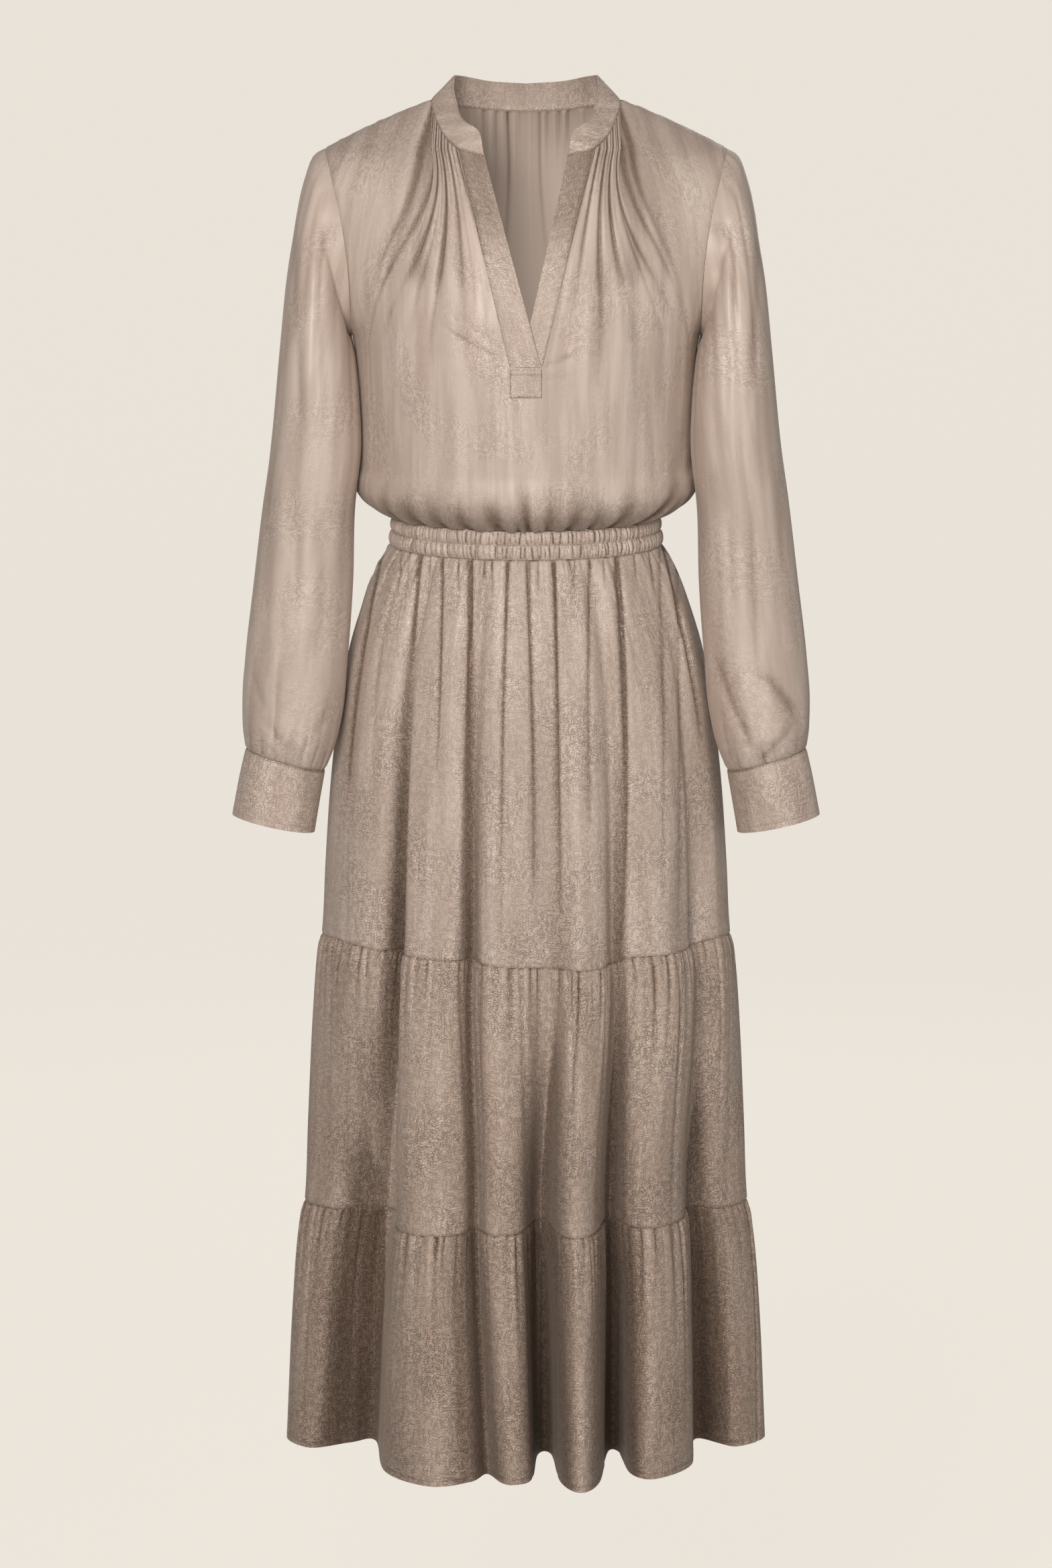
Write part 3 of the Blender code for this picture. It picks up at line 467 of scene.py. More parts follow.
def insideMaterial(name, brightness=1.0):
    # the back of the satin: plain, dull and even
    material, tree, shader = newMaterial(name)
    uv, paintedShade = clothPlace(tree)
    # on the back of the cloth the painted shade and highlight swap sides
    behind = mathNode(tree, -700, 300, "MULTIPLY", paintedShade, -1.0)
    weave = noiseNode(tree, -700, 0, uv, satin["insideThreads"], 2.0)["Fac"]
    tint = rangeNode(tree, -500, 0, weave, 0.3, 0.7)
    dark, light = [scaled(satin["inside"], brightness * share) for share in (0.96, 1.03)]
    setInputs(tree, shader, {
        "Base Color": paintShade(tree, mixColour(tree, -300, 0, tint, dark, light), behind),
        "Normal": bumpNode(tree, -300, -300, weave, satin["insideBump"], 0.0001),
        "Roughness": 0.72,
        "Specular IOR Level": 0.3,
    })
    return material


def threadMaterial():
    # fine matching thread, a shade darker than the cloth
    material, tree, shader = newMaterial("thread")
    place = addNode(tree, "ShaderNodeTexCoord", -900, 0, {}).outputs["Object"]
    twist = noiseNode(tree, -700, 0, place, 2500.0, 2.0, dimensions="3D")["Fac"]
    setInputs(tree, shader, {
        "Base Color": mixColour(tree, -300, 0, twist, threadDark, threadLight),
        "Roughness": 0.6,
    })
    return material


cloth = {
    "single": 0.5,
    "double": 1.1,
    "sharpTurn": 75.0,              # degrees from which an edge is shown sharp
}


def choose(piece):
    bpy.ops.object.select_all(action="DESELECT")
    piece.select_set(True)
    bpy.context.view_layer.objects.active = piece


def clothPiece(name, points, uv, thickness, face, lining, reliefAndPaintedShade, cells=None, closed=False):
    # a grid of points made into cloth of that thickness; cells says which of its squares are there
    rows, columns = points.shape[:2]
    count = columns if closed else columns - 1
    number = np.arange(rows * columns).reshape(rows, columns)
    left = number[:, :count]
    right = np.roll(number, -1, axis=1)[:, :count]
    quads = np.stack([left[:-1], left[1:], right[1:], right[:-1]], axis=-1)
    uvLeft = uv[:, :count]
    uvRight = uv[:, 1:count + 1]
    corners = np.stack([uvLeft[:-1], uvLeft[1:], uvRight[1:], uvRight[:-1]], axis=2)
    keep = np.ones((rows - 1, count), bool) if cells is None else cells
    quads = quads[keep]
    used, index = np.unique(quads, return_inverse=True)
    mesh = bpy.data.meshes.new(name)
    mesh.from_pydata((points.reshape(-1, 3)[used] * mm).tolist(), [], index.reshape(quads.shape).tolist())
    layer = mesh.uv_layers.new(name="cloth")
    layer.data.foreach_set("uv", (corners[keep].reshape(-1) * mm).astype(np.float32))
    # the painted shade of each point, kept as an attribute for the materials
    folds = np.clip(reliefAndPaintedShade, -1.0, 1.0).reshape(-1)[used].astype(np.float32)
    mesh.attributes.new("reliefAndPaintedShade", "FLOAT", "POINT").data.foreach_set("value", folds)
    mesh.materials.append(face)
    mesh.materials.append(lining)
    piece = addObject(name, mesh)
    choose(piece)
    wall = piece.modifiers.new("wall", "SOLIDIFY")
    wall.thickness = thickness * mm
    wall.offset = 0.0
    wall.material_offset = 1
    bpy.ops.object.modifier_apply(modifier="wall")
    piece.data.shade_smooth()
    piece.data.set_sharp_from_angle(angle=math.radians(cloth["sharpTurn"]))
    return piece


def sewIn(piece, node):
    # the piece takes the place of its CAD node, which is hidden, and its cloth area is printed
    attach(piece, "root")
    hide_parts(node)
    size = sum(polygon.area for polygon in piece.data.polygons) / 2.0
    print("made", piece.name, len(piece.data.polygons) * 2, "triangles, cloth", round(size, 4), "m2")


sewing = {
    "stitch": 2.6,
    "gap": 0.9,
    "width": 0.36,
    "rise": 0.24,
    "clearance": 0.03,              # between the cloth and the foot of the thread
    "neckLine": 1.5,
    "seamLines": (1.3, 3.1),        # two rows beside a seam
    "collarEdge": 3.7,
    "hem": 5.0,
    "cuffSeam": 1.7,
    "cuffEdge": 5.5,
    "tabInset": 1.6,
}
stitchLines = {}


def rowLine(points, distance, thickness, fromEnd=False):
    # a line on the outer face at one distance from the first or the last row
    normals = outwards(points)
    if fromEnd:
        points, normals = points[::-1], normals[::-1]
    below = lengthsAlong(points)
    line, out = [np.stack([pointsAt(distance, below[:, column], grid[:, column])
                           for column in range(points.shape[1])]) for grid in (points, normals)]
    return line + out * (thickness / 2.0 + sewing["clearance"]), out


def columnLine(points, distance, thickness, fromEnd=False):
    # the same beside the first or the last column
    line, out = rowLine(points.swapaxes(0, 1), distance, thickness, fromEnd)
    return line, out * np.sign(np.sum(out * outwards(points).mean(axis=(0, 1)), axis=1, keepdims=True))


def addStitches(group, line, out):
    # each stitch is a small ridge of thread with three cross sections
    lengths = lengthsAlong(line)
    stitch = sewing["stitch"]
    corners, faces = stitchLines.setdefault(group, ([], []))
    for start in np.arange(0.5 * sewing["gap"], lengths[-1] - stitch, stitch + sewing["gap"]):
        first = len(corners)
        for step, wide, high in ((0.0, 0.5, 0.0), (0.5, 1.0, 1.0), (1.0, 0.5, 0.0)):
            place = start + step * stitch
            centre, ahead, behind = [pointsAt(place + nudge, lengths, line) for nudge in (0.0, 0.4, -0.4)]
            normal = pointsAt(place, lengths, out)
            side = np.cross(ahead - behind, normal)
            side *= 0.5 * sewing["width"] * wide / max(np.linalg.norm(side), 1e-9)
            corners += [centre - side, centre + normal * sewing["rise"] * (0.15 + 0.85 * high), centre + side]
        for row in (0, 1):
            a, b = first + 3 * row, first + 3 * row + 3
            faces += [(a, a + 1, b + 1, b), (a + 1, a + 2, b + 2, b + 1), (a + 2, a, b, b + 2)]
        faces += [(first, first + 2, first + 1), (first + 6, first + 7, first + 8)]


def makeStitching():
    thread = threadMaterial()
    for group, (corners, faces) in stitchLines.items():
        mesh = bpy.data.meshes.new(group)
        mesh.from_pydata((np.array(corners) * mm).tolist(), [], faces)
        mesh.materials.append(thread)
        piece = addObject(group, mesh)
        choose(piece)
        bpy.ops.object.mode_set(mode="EDIT")
        bpy.ops.mesh.select_all(action="SELECT")
        bpy.ops.mesh.normals_make_consistent(inside=False)
        bpy.ops.object.mode_set(mode="OBJECT")
        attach(piece, "root")
        print("made", group, len(faces) // 8, "stitches")


bodice = {
    "neckX": 86.0,
    "tipX": 183.0,
    "tipZ": -44.0,
    "underarmZ": -214.0,
    "armholeDepth": 55.0,
    "roll": 0.9,                        # how flat the cloth lies next to the armhole
    "shoulderRound": 0.18,
    "notchZ": -235.4,
    "waistZ": -379.0,
    "waistTilt": 0.07,
    "tiltFrom": -255.0,                 # level from which the rows begin to tilt towards the waist
    "tiltHeight": 124.0,
    "placketTop": (61.0, -43.0),
    "placketLowX": 14.7,
    # one value for the front, -1, and one for the back, 1
    "depthColumn": {-1: 2, 1: 3},
    "neckShare": {-1: 10.0 / 15.0, 1: 9.0 / 14.0},      # share of a row's width that starts at the neck seam
    "neckSeam": {
        -1: np.array([(61.0, -43.0), (69.5, -36.0), (77.0, -26.5), (82.6, -14.5), (85.4, -5.5), (86.0, 0.0)]),
        1: np.array([(0.0, -11.6), (22.0, -10.9), (45.0, -8.8), (66.0, -5.6), (80.0, -2.2), (86.0, 0.0)]),
    },
    "columns": 104,
    "middleColumns": 12,
    "armRows": 46,
    "rows": [(-214.0, -235.4, 6), (-235.4, -318.0, 24), (-318.0, -370.0, 26), (-370.0, -379.0, 6)],
    "sizes": np.array([
        # level, half width, front depth, back depth
        (0, 86, 0, 0), (-1, 88.2, 5, 26), (-3, 92.6, 11, 50), (-6, 99.2, 16.5, 60), (-11.6, 111.6, 23, 65.5),
        (-16.5, 122.4, 28.5, 69.5), (-29, 149.9, 41.5, 77.5), (-44, 183, 57, 85), (-60, 178.4, 71.5, 90),
        (-75, 174.6, 81, 93.5), (-98.5, 168.8, 91.5, 97.5), (-130, 163.6, 101.5, 100.5),
        (-156, 160.8, 108.5, 101), (-185, 159.4, 114.5, 98.5), (-214, 158.4, 118.5, 95.5),
        (-224, 156.6, 119.5, 94.5), (-240, 155.2, 121, 93), (-260, 154.2, 121, 91.5),
        (-303, 152.6, 119.5, 91), (-330, 152.8, 118.5, 94.5), (-343, 156.6, 120, 98.5),
        (-351, 156.8, 120.5, 99.5), (-361, 151.6, 118, 97.5), (-371, 139, 108.5, 92), (-379, 121, 92.5, 84),
    ]),
    # gathers below the collar: place from the placket or the centre, width, depth, length, drift
    "gathersRight": [
        (3, 1.5, 2.6, 120, -0.03), (9, 1.2, 1.8, 60, 0), (15.5, 1.8, 3.2, 140, 0), (22, 1.4, 2.4, 70, 0.01),
        (28.5, 2, 3.8, 150, 0.02), (35.5, 1.6, 2.6, 80, 0.03), (42, 2.3, 4.4, 150, 0.1),
        (49, 2.1, 3.2, 80, 0.12), (55, 3, 4.8, 150, 0.18), (62, 3, 3.8, 90, 0.2), (68, 3.8, 4.8, 150, 0.24),
    ],
    "gathersLeft": [
        (2, 1.5, 2.4, 90, -0.03), (8.5, 1.7, 3.4, 150, 0), (15.5, 1.3, 2.2, 60, 0), (21, 1.9, 4, 140, 0.01),
        (28.5, 1.5, 2.4, 80, 0.02), (34.5, 2.1, 4.2, 155, 0.03), (41.5, 2, 3, 70, 0.1),
        (47.5, 2.5, 4.6, 140, 0.12), (55, 2.6, 3.4, 90, 0.17), (61, 3.2, 4.8, 150, 0.2),
        (68.5, 3.6, 4.4, 120, 0.24),
    ],
    "gathersBack": [
        (-40, 1.8, -1.8, 60, 0), (-28, 1.7, -2, 70, 0), (-17, 1.9, -3, 150, 0.02), (-5.6, 1.6, -1.8, 34, 0),
        (12.5, 2, -2.6, 160, 0.01), (20, 1.5, -1.8, 50, 0), (31, 1.7, -1.6, 48, 0), (39.5, 1.7, -2, 44, 0),
        (-52, 2, 1.5, 50, -0.05), (-34, 1.8, 1.8, 80, -0.03), (-22.5, 1.8, 1.4, 60, -0.02),
        (-11, 1.6, 1.6, 90, 0), (3.5, 1.8, 1.9, 110, 0), (16, 1.6, 1.5, 70, 0.02), (26, 1.8, 1.8, 95, 0.03),
        (35.5, 1.8, 1.4, 50, 0.05), (53, 2.1, 1.6, 60, 0.06),
    ],
    "gathersPastNeck": 62.0,            # how far past the neck point the front's gathers reach
    # creases of the front: start x, z, end x, z, width, depth, bend
    "creases": [
        (-10, -232, -84, -192, 4.4, 1.3, 3), (-8, -238, -56, -219, 3.2, 1.3, 2),
        (-12, -221, -60, -186, 3.6, 0.7, 3), (10, -236, 58, -214, 4.4, 0.9, -2),
        (10, -246, 48, -240, 3.6, 0.5, -2), (-96, -70, -104, -345, 11, 0.7, 4),
        (-66, -150, -72, -352, 10, 0.5, 2), (-124, -120, -130, -345, 9, 0.6, 3),
        (-38, -272, -36, -352, 9, 0.4, 1), (98, -80, 104, -345, 11, 0.7, -4),
        (70, -120, 72, -352, 10, 0.6, -2), (126, -110, 130, -345, 9, 0.7, -3),
        (40, -270, 44, -352, 9, 0.4, -1),
    ],
    # puckers where the blouse turns under to the waist: place along the seam, width, depth, length, drift
    "puckers": [
        (-150, 7, 3, 50, 0), (-124, 6, 4, 46, 0.25), (-98, 7.5, 4.6, 40, 0.12), (-74, 5, 4.2, 34, 0.1),
        (-52, 6.5, 4.4, 38, 0), (-24, 7, 7, 44, -0.1), (-6, 3.4, 3.4, 26, 0), (3, 3.8, 7.5, 46, -0.1),
        (20, 4.4, 4, 32, 0), (38, 5, 4.6, 36, 0.08), (57, 4.6, 3.6, 30, 0), (78, 6, 4.8, 38, 0.05),
        (102, 7, 7, 56, 0.35), (124, 5, 4, 40, 0.1), (146, 6, 3.4, 50, 0),
    ],
    # uneven folds: spacing, seed, width, depth, the short, middling and long length
    "fineGathers": (8.0, 31, 1.8, 1.8, (12.0, 20.0, 34.0)),
    "softFront": (17.0, 17, 4.6, 1.5, (150.0, 240.0, 330.0)),
    "softBack": (19.0, 23, 4.8, 1.5, (150.0, 240.0, 330.0)),
    # height in millimetres at which folds of one kind take their full painted shade, front and back
    "gatherShadeDepth": 1.9,
    "softShadeDepth": 3.4,
    "creaseShadeDepth": 1.6,
    "puckerShadeDepth": 6.5,
    "backGatherShadeDepth": 2.3,
    "backSoftShadeDepth": 4.5,
    "neckShade": 0.44,                  # below the neck gathers and on the shoulders
    "gatherShadeAt": (92.0, 38.0, -178.0),      # its middle and reach from the centre, and its lower end
    "shoulderShadeAt": (60.0, -95.0),           # its inner and its lower end
    "shoulderShade": 0.8,
    "seamFade": (5.0, 3.0, 8.0, 3.0),           # folds die out so far from the top, waist, armhole, side
    "lowShade": 0.62,                   # under the overhang above the waist, and how high it reaches
    "lowShadeHeight": 51.0,
    "seamShade": 0.6,
    "brightness": 1.0,
    "reliefAndPaintedShade": 0.68,
    "patch": 0.88,
}
armMiddle = (bodice["tipZ"] + bodice["underarmZ"]) / 2.0
armHalf = (bodice["tipZ"] - bodice["underarmZ"]) / 2.0
shares = np.linspace(0.0, 1.0, bodice["columns"] + 1)      # columns of half a bodice, centre to side


def armholeBow(level):
    return bodice["armholeDepth"] * np.sqrt(np.clip(1.0 - ((level - armMiddle) / armHalf) ** 2, 0.0, None))


def shoulderLine(share):
    drop = share - bodice["shoulderRound"] * share * (1.0 - share)
    return bodice["neckX"] + (bodice["tipX"] - bodice["neckX"]) * share, bodice["tipZ"] * drop


def bodiceWidth(level):
    sizes = bodice["sizes"]
    lower = sizes[sizes[:, 0] <= bodice["tipZ"]]
    below = smoothCurve(lower[:, 0], lower[:, 1], level)
    lineX, lineZ = shoulderLine(np.linspace(1.0, 0.0, 60))
    return np.where(np.asarray(level) > bodice["tipZ"], np.interp(level, lineZ, lineX), below)


def bodicePoint(turn, level, side):
    # a turn is an angle from the centre; side is -1 in front and +1 behind
    depth = smoothCurve(bodice["sizes"][:, 0], bodice["sizes"][:, bodice["depthColumn"][side]], level)
    bow = np.where(np.asarray(level) < bodice["tipZ"], armholeBow(level), 0.0)
    roll = 1.0 + bodice["roll"] * bow / bodice["armholeDepth"]
    out = side * (bow + (depth - bow) * np.clip(np.cos(turn), 0.0, 1.0) ** roll)
    tilt = bodice["waistTilt"] * smoothStep((bodice["tiltFrom"] - level) / bodice["tiltHeight"])
    return np.stack([bodiceWidth(level) * np.sin(turn), out, level + tilt * out], axis=-1)


def turnAt(across, level):
    return np.arcsin(np.clip(across / bodiceWidth(level), -1.0, 1.0))


def placketSeam(level):
    topX, topZ = bodice["placketTop"]
    share = np.clip((level - topZ) / (bodice["notchZ"] - topZ), 0.0, 1.0)
    return topX + (bodice["placketLowX"] - topX) * share


def bodiceRows():
    # share of each row down its column
    drop = bodice["tipZ"] - bodice["waistZ"]
    turns = np.linspace(0.0, math.pi, bodice["armRows"] + 1)
    rows = list(armHalf * (1.0 - np.cos(turns)) / drop)
    for top, low, count in bodice["rows"]:
        rows += [(bodice["tipZ"] - level) / drop for level in np.linspace(top, low, count + 1)[1:]]
    return np.array(rows)


rowShares = bodiceRows()
notchRow = bodice["armRows"] + bodice["rows"][0][2]


def topRow(side):
    # start of each column, along the neck seam and then the shoulder seam
    neck = bodice["neckSeam"][side]
    neckShare = bodice["neckShare"][side]
    along = lengthsAlong(neck)
    places = np.clip(shares / neckShare, 0.0, 1.0) * along[-1]
    lineX, lineZ = shoulderLine(np.clip((shares - neckShare) / (1.0 - neckShare), 0.0, 1.0))
    onNeck = shares <= neckShare
    return [np.where(onNeck, smoothCurve(along, neck[:, axis], places), line)
            for axis, line in ((0, lineX), (1, lineZ))]


def halfPanel(side):
    # plain form of one half, and the level of each of its points
    startX, startZ = topRow(side)
    atTip = np.arcsin(startX / bodice["tipX"])
    topShare = (atTip - atTip[0]) / (math.pi / 2.0 - atTip[0])
    levels = startZ + (bodice["waistZ"] - startZ) * rowShares[:, None]
    ease = smoothStep((bodice["tipZ"] - levels) / 200.0)
    place = topShare * (1.0 - ease) + shares * ease
    centreTurn = turnAt(placketSeam(levels) if side < 0 else np.zeros_like(levels), levels)
    belowTip = centreTurn + (math.pi / 2.0 - centreTurn) * place
    aboveTip = turnAt(startX * np.ones_like(levels), levels)
    turns = np.where(levels < bodice["tipZ"], belowTip, aboveTip)
    turns[:, -1] = math.pi / 2.0
    turns[0, shares >= bodice["neckShare"][side] - 1e-9] = math.pi / 2.0
    return bodicePoint(turns, levels, side), levels


def neckColumns(side):
    return int(round(bodice["neckShare"][side] * bodice["columns"]))


def frontForm():
    # plain form of the front: two halves, and the strip between them below the notch
    half, levels = halfPanel(-1)
    middle = np.linspace(-1.0, 1.0, bodice["middleColumns"] + 1)[1:-1]
    centreX = placketSeam(levels[:, :1]) * middle
    centreLevels = levels[:, :1] * np.ones_like(centreX)
    strip = bodicePoint(turnAt(centreX, centreLevels), centreLevels, -1)
    points = np.concatenate([half[:, ::-1] * flip, strip, half], axis=1)
    cells = np.ones((points.shape[0] - 1, points.shape[1] - 1), bool)
    first = half.shape[1] - 1
    cells[:notchRow, first:first + bodice["middleColumns"]] = False
    return points, cells


def armholeEdge(points):
    # distance from the nearer end of each row, where the armhole edge or the side seam is
    across = lengthsAcross(points)
    return np.minimum(across, across[:, -1:] - across)


def waistPuckers(points):
    upwards = lengthsAlong(points[::-1])[::-1]
    across = lengthsAcross(points)[-1]
    along = across - across[points.shape[1] // 2]
    height = gathered(along, upwards, manyGathers(along[0], along[-1], *bodice["fineGathers"]), 4.0)
    for place, width, depth, length, drift in bodice["puckers"]:
        offset = (along - place - drift * upwards) / (width * (1.0 + 0.6 * upwards / length))
        height -= depth * trough(offset) * np.exp(-(upwards / length) ** 1.6) * smoothStep(upwards / 4.0)
    return height


def settled(points, height):
    # the folds die out at the seams, whose edges turn in
    below = lengthsAlong(points)
    fromWaist = below[-1] - below
    fromArm = armholeEdge(points)
    onArm = (rowShares <= rowShares[bodice["armRows"]])[:, None]
    top, waist, armhole, side = bodice["seamFade"]
    height = height * smoothStep(below / top) * smoothStep(fromWaist / waist)
    height = height * smoothStep(fromArm / np.where(onArm, armhole, side))
    height += seamRoll(below, 0.5) + seamRoll(fromWaist)
    return height + np.where(onArm, seamRoll(fromArm, 0.7, 1.8), seamRoll(fromArm, 0.4, 1.2))


def shadedTop(points):
    # the cloth lies in shade below the neck gathers and over the top of the shoulders
    across = np.abs(points[..., 0])
    level = points[..., 2]
    middle, reach, low = bodice["gatherShadeAt"]
    inner, base = bodice["shoulderShadeAt"]
    gathers = np.exp(-((across - middle) / reach) ** 4) * smoothStep((level - low) / 30.0)
    shoulder = smoothStep((level - base) / 60.0) * smoothStep((across - inner) / 40.0)
    return np.maximum(gathers, bodice["shoulderShade"] * shoulder)


def frontBodice(points):
    # the front with its folds, and the painted shade of its folds and shaded places from -1 to 1
    below = lengthsAlong(points)
    columns = bodice["columns"] + 1
    places = lengthsAlong(halfPanel(-1)[0][0])
    fade = smoothStep((places[neckColumns(-1)] + bodice["gathersPastNeck"] - places) / 50.0)
    height = np.zeros(points.shape[:2])
    height[:, -columns:] += gathered(places, below[:, -columns:], bodice["gathersLeft"]) * fade
    right = gathered(places, below[:, columns - 1::-1], bodice["gathersRight"]) * fade
    height[:, :columns] += right[:, ::-1]
    # painted shade: darker deep in the gathers, below them and over the shoulders
    reliefAndPaintedShade = height / bodice["gatherShadeDepth"] - bodice["neckShade"] * shadedTop(points)

    along = lengthsAcross(points)[-30]
    along = along - along[len(along) // 2]
    soft = softBands(along, below, *bodice["softFront"])
    soft = soft * smoothStep(armholeEdge(points) / 30.0) * smoothStep((-55.0 - points[..., 2]) / 75.0)
    creases = creased(points, bodice["creases"])
    puckers = waistPuckers(points)
    # and painted shade down in the soft folds, the creases and the puckers
    reliefAndPaintedShade += soft / bodice["softShadeDepth"] + creases / bodice["creaseShadeDepth"] + puckers / bodice["puckerShadeDepth"]
    height += soft + creases + puckers

    fromWaist = below[-1] - below
    # painted shade along the seams and under the overhang above the waist
    reliefAndPaintedShade -= bodice["seamShade"] * bell(np.minimum(below, fromWaist) / 1.8)
    shadeLine = bodice["lowShadeHeight"] + 4.0 * np.sin(along / 19.0) + 3.0 * np.sin(along / 7.3 + 1.0)
    reliefAndPaintedShade -= bodice["lowShade"] * np.exp(-(fromWaist / shadeLine) ** 4)
    return moveOut(points, settled(points, height)), reliefAndPaintedShade


def backBodice():
    half = halfPanel(1)[0]
    form = np.concatenate([half[:, ::-1] * flip, half[:, 1:]], axis=1)
    below = lengthsAlong(form)
    places = lengthsAlong(half[0])
    along = np.concatenate([-places[::-1], places[1:]])
    height = gathered(along, below, bodice["gathersBack"])
    height *= smoothStep((places[neckColumns(1)] - np.abs(along)) / 14.0)
    height += waistPuckers(form)
    height += creased(form, [
        (-x1 * 0.9, z1 - 20.0, -x2 * 0.9, z2, width, depth, -bend)
        for x1, z1, x2, z2, width, depth, bend in bodice["creases"] if abs(x1) > 30.0
    ])
    soft = softBands(along, below, *bodice["softBack"])
    # painted shade of the back's folds
    reliefAndPaintedShade = height / bodice["backGatherShadeDepth"] + soft / bodice["backSoftShadeDepth"]
    form, reliefAndPaintedShade, height = form[:, ::-1], reliefAndPaintedShade[:, ::-1], settled(form, height + soft)[:, ::-1]
    return form, moveOut(form, height), reliefAndPaintedShade


def clothMap(points, closed=False):
    # flat place of each grid point, measured from the middle of its row
    if closed:
        points = closedUp(points)
    across = lengthsAcross(points)
    middle = points.shape[1] // 2
    if closed:
        across = np.broadcast_to(across.mean(axis=0), across.shape)
    return np.stack([across - across[:, middle:middle + 1], -lengthsAlong(points)], axis=-1)


def makeBodice(face, lining):
    form, cells = frontForm()
    points, reliefAndPaintedShade = frontBodice(form)
    piece = clothPiece("frontBodice", points, clothMap(form), cloth["single"], face, lining, reliefAndPaintedShade, cells)
    sewIn(piece, "front_bodice")
    line, out = rowLine(points, sewing["neckLine"], cloth["single"])
    columns = bodice["columns"] + 1
    neck = neckColumns(-1)
    for start in (columns - 1 - neck, len(line) - columns):
        addStitches("neckStitching", line[start:start + neck + 1], out[start:start + neck + 1])
    form, points, reliefAndPaintedShade = backBodice()
    piece = clothPiece("backBodice", points, clothMap(form), cloth["single"], face, lining, reliefAndPaintedShade)
    sewIn(piece, "back_bodice")


opening = {
    "overEdge": (-37.4, 13.4),      # free edge of the upper placket, top and bottom
    "underEdge": (37.4, -5.0),
    "edgeTopZ": -49.0,
    "lift": 1.5,                    # how far the upper placket stands off, and the under one sinks
    "sink": 1.6,
    "columns": 14,
    "tabWidth": 28.0,
    "tabLength": 26.0,
    "tabColumns": 24,
    "tabRows": 22,
    "tabLift": 1.25,                # above the plain form of the bodice
    "boxTop": 5.5,                  # how far below the tab's top the line across it lies
    "topShade": 0.52,
    "topShadeZ": -160.0,
    "seamShade": 0.55,
    "stitchShade": 0.22,
    "boxShade": 0.8,
    "brightness": 0.94,
    "reliefAndPaintedShade": 1.0,
    "patch": 0.6,
}


def placket(edge, lift, hand):
    levels = halfPanel(-1)[1][:notchRow + 1, 0]
    share = np.linspace(0.0, 1.0, opening["columns"] + 1)
    topZ = bodice["placketTop"][1]
    down = ((levels - topZ) / (bodice["notchZ"] - topZ))[:, None]
    edgeLevels = opening["edgeTopZ"] + (bodice["notchZ"] - opening["edgeTopZ"]) * down
    edgeX = edge[0] + (edge[1] - edge[0]) * down
    grid = levels[:, None] * (1.0 - share) + edgeLevels * share
    across = hand * placketSeam(levels)[:, None] * (1.0 - share) + edgeX * share
    points = bodicePoint(turnAt(across, grid), grid, -1)
    points[:, :, 1] -= lift * smoothStep(share / 0.6) * smoothStep(down / 0.45)
    return points


def makePlackets(face, lining):
    over = placket(opening["overEdge"], opening["lift"], -1)
    under = placket(opening["underEdge"], -opening["sink"], 1)[:, ::-1]
    for name, node, points in (("rightPlacket", "placket_right", over), ("leftPlacket", "placket_left", under)):
        edges = lengthsAcross(points)
        isLeft = node == "placket_left"
        seam = edges[:, -1:] - edges if isLeft else edges
        sewn = moveOut(points, seamRoll(seam, 0.6, 1.4) + seamRoll(lengthsAlong(points), 0.4, 1.2))
        # painted shade at the placket's top, along its seam and along its stitching
        reliefAndPaintedShade = -opening["topShade"] * smoothStep((points[..., 2] - opening["topShadeZ"]) / 60.0)
        reliefAndPaintedShade -= opening["seamShade"] * bell(seam)
        for distance in sewing["seamLines"]:
            reliefAndPaintedShade -= opening["stitchShade"] * bell((seam - distance) / 0.7)
            addStitches("placketStitching", *columnLine(sewn, distance, cloth["double"], isLeft))
        piece = clothPiece(name, sewn, clothMap(points), cloth["double"], face, lining, reliefAndPaintedShade)
        sewIn(piece, node)


def makeTab(face, lining):
    half = opening["tabWidth"] / 2.0
    top = bodice["notchZ"] - 0.8
    low = top - opening["tabLength"]
    gridX, gridZ = np.meshgrid(np.linspace(-half, half, opening["tabColumns"]),
                               np.linspace(top, low, opening["tabRows"]))
    points = bodicePoint(turnAt(gridX, gridZ), gridZ, -1)
    edge = np.minimum(half - np.abs(gridX), np.minimum(top - gridZ, gridZ - low))
    points[:, :, 1] -= opening["tabLift"] - 0.45 * bell(edge / 1.1)
    box = np.minimum(edge, np.abs(points[..., 2] - points[0, :, 2] + opening["boxTop"]))
    # painted shade along the stitched box
    reliefAndPaintedShade = -opening["boxShade"] * bell(box / 0.7) * (points[..., 2] < points[0, 0, 2] - 0.5)
    piece = clothPiece("tab", points, clothMap(points), cloth["double"], face, lining, reliefAndPaintedShade)
    sewIn(piece, "placket_tab")
    inset = sewing["tabInset"]
    for fromEnd in (False, True):
        for sideLine in (rowLine, columnLine):
            line, out = sideLine(points, inset, cloth["double"], fromEnd)
            lengths = lengthsAlong(line)
            keep = (lengths > inset) & (lengths < lengths[-1] - inset)
            addStitches("tabStitching", line[keep], out[keep])


collar = {
    "edge": np.array([
        # share from the front corner to the centre back, x, y, z
        (0, 40.5, -54.5, -25.5), (0.1, 52.5, -49, -20.5), (0.2, 59, -38.5, -14), (0.3, 62, -25, -4),
        (0.4, 65.4, -9, 11), (0.5, 64.6, 7, 21.5), (0.63, 56, 30, 20), (0.8, 31, 49, 15), (1, 0, 55.5, 13),
    ]),
    "bow": 1.2,
    "cornerRound": 9.0,
    "seamShade": 0.6,
    "rows": 16,
    "columns": 190,
}


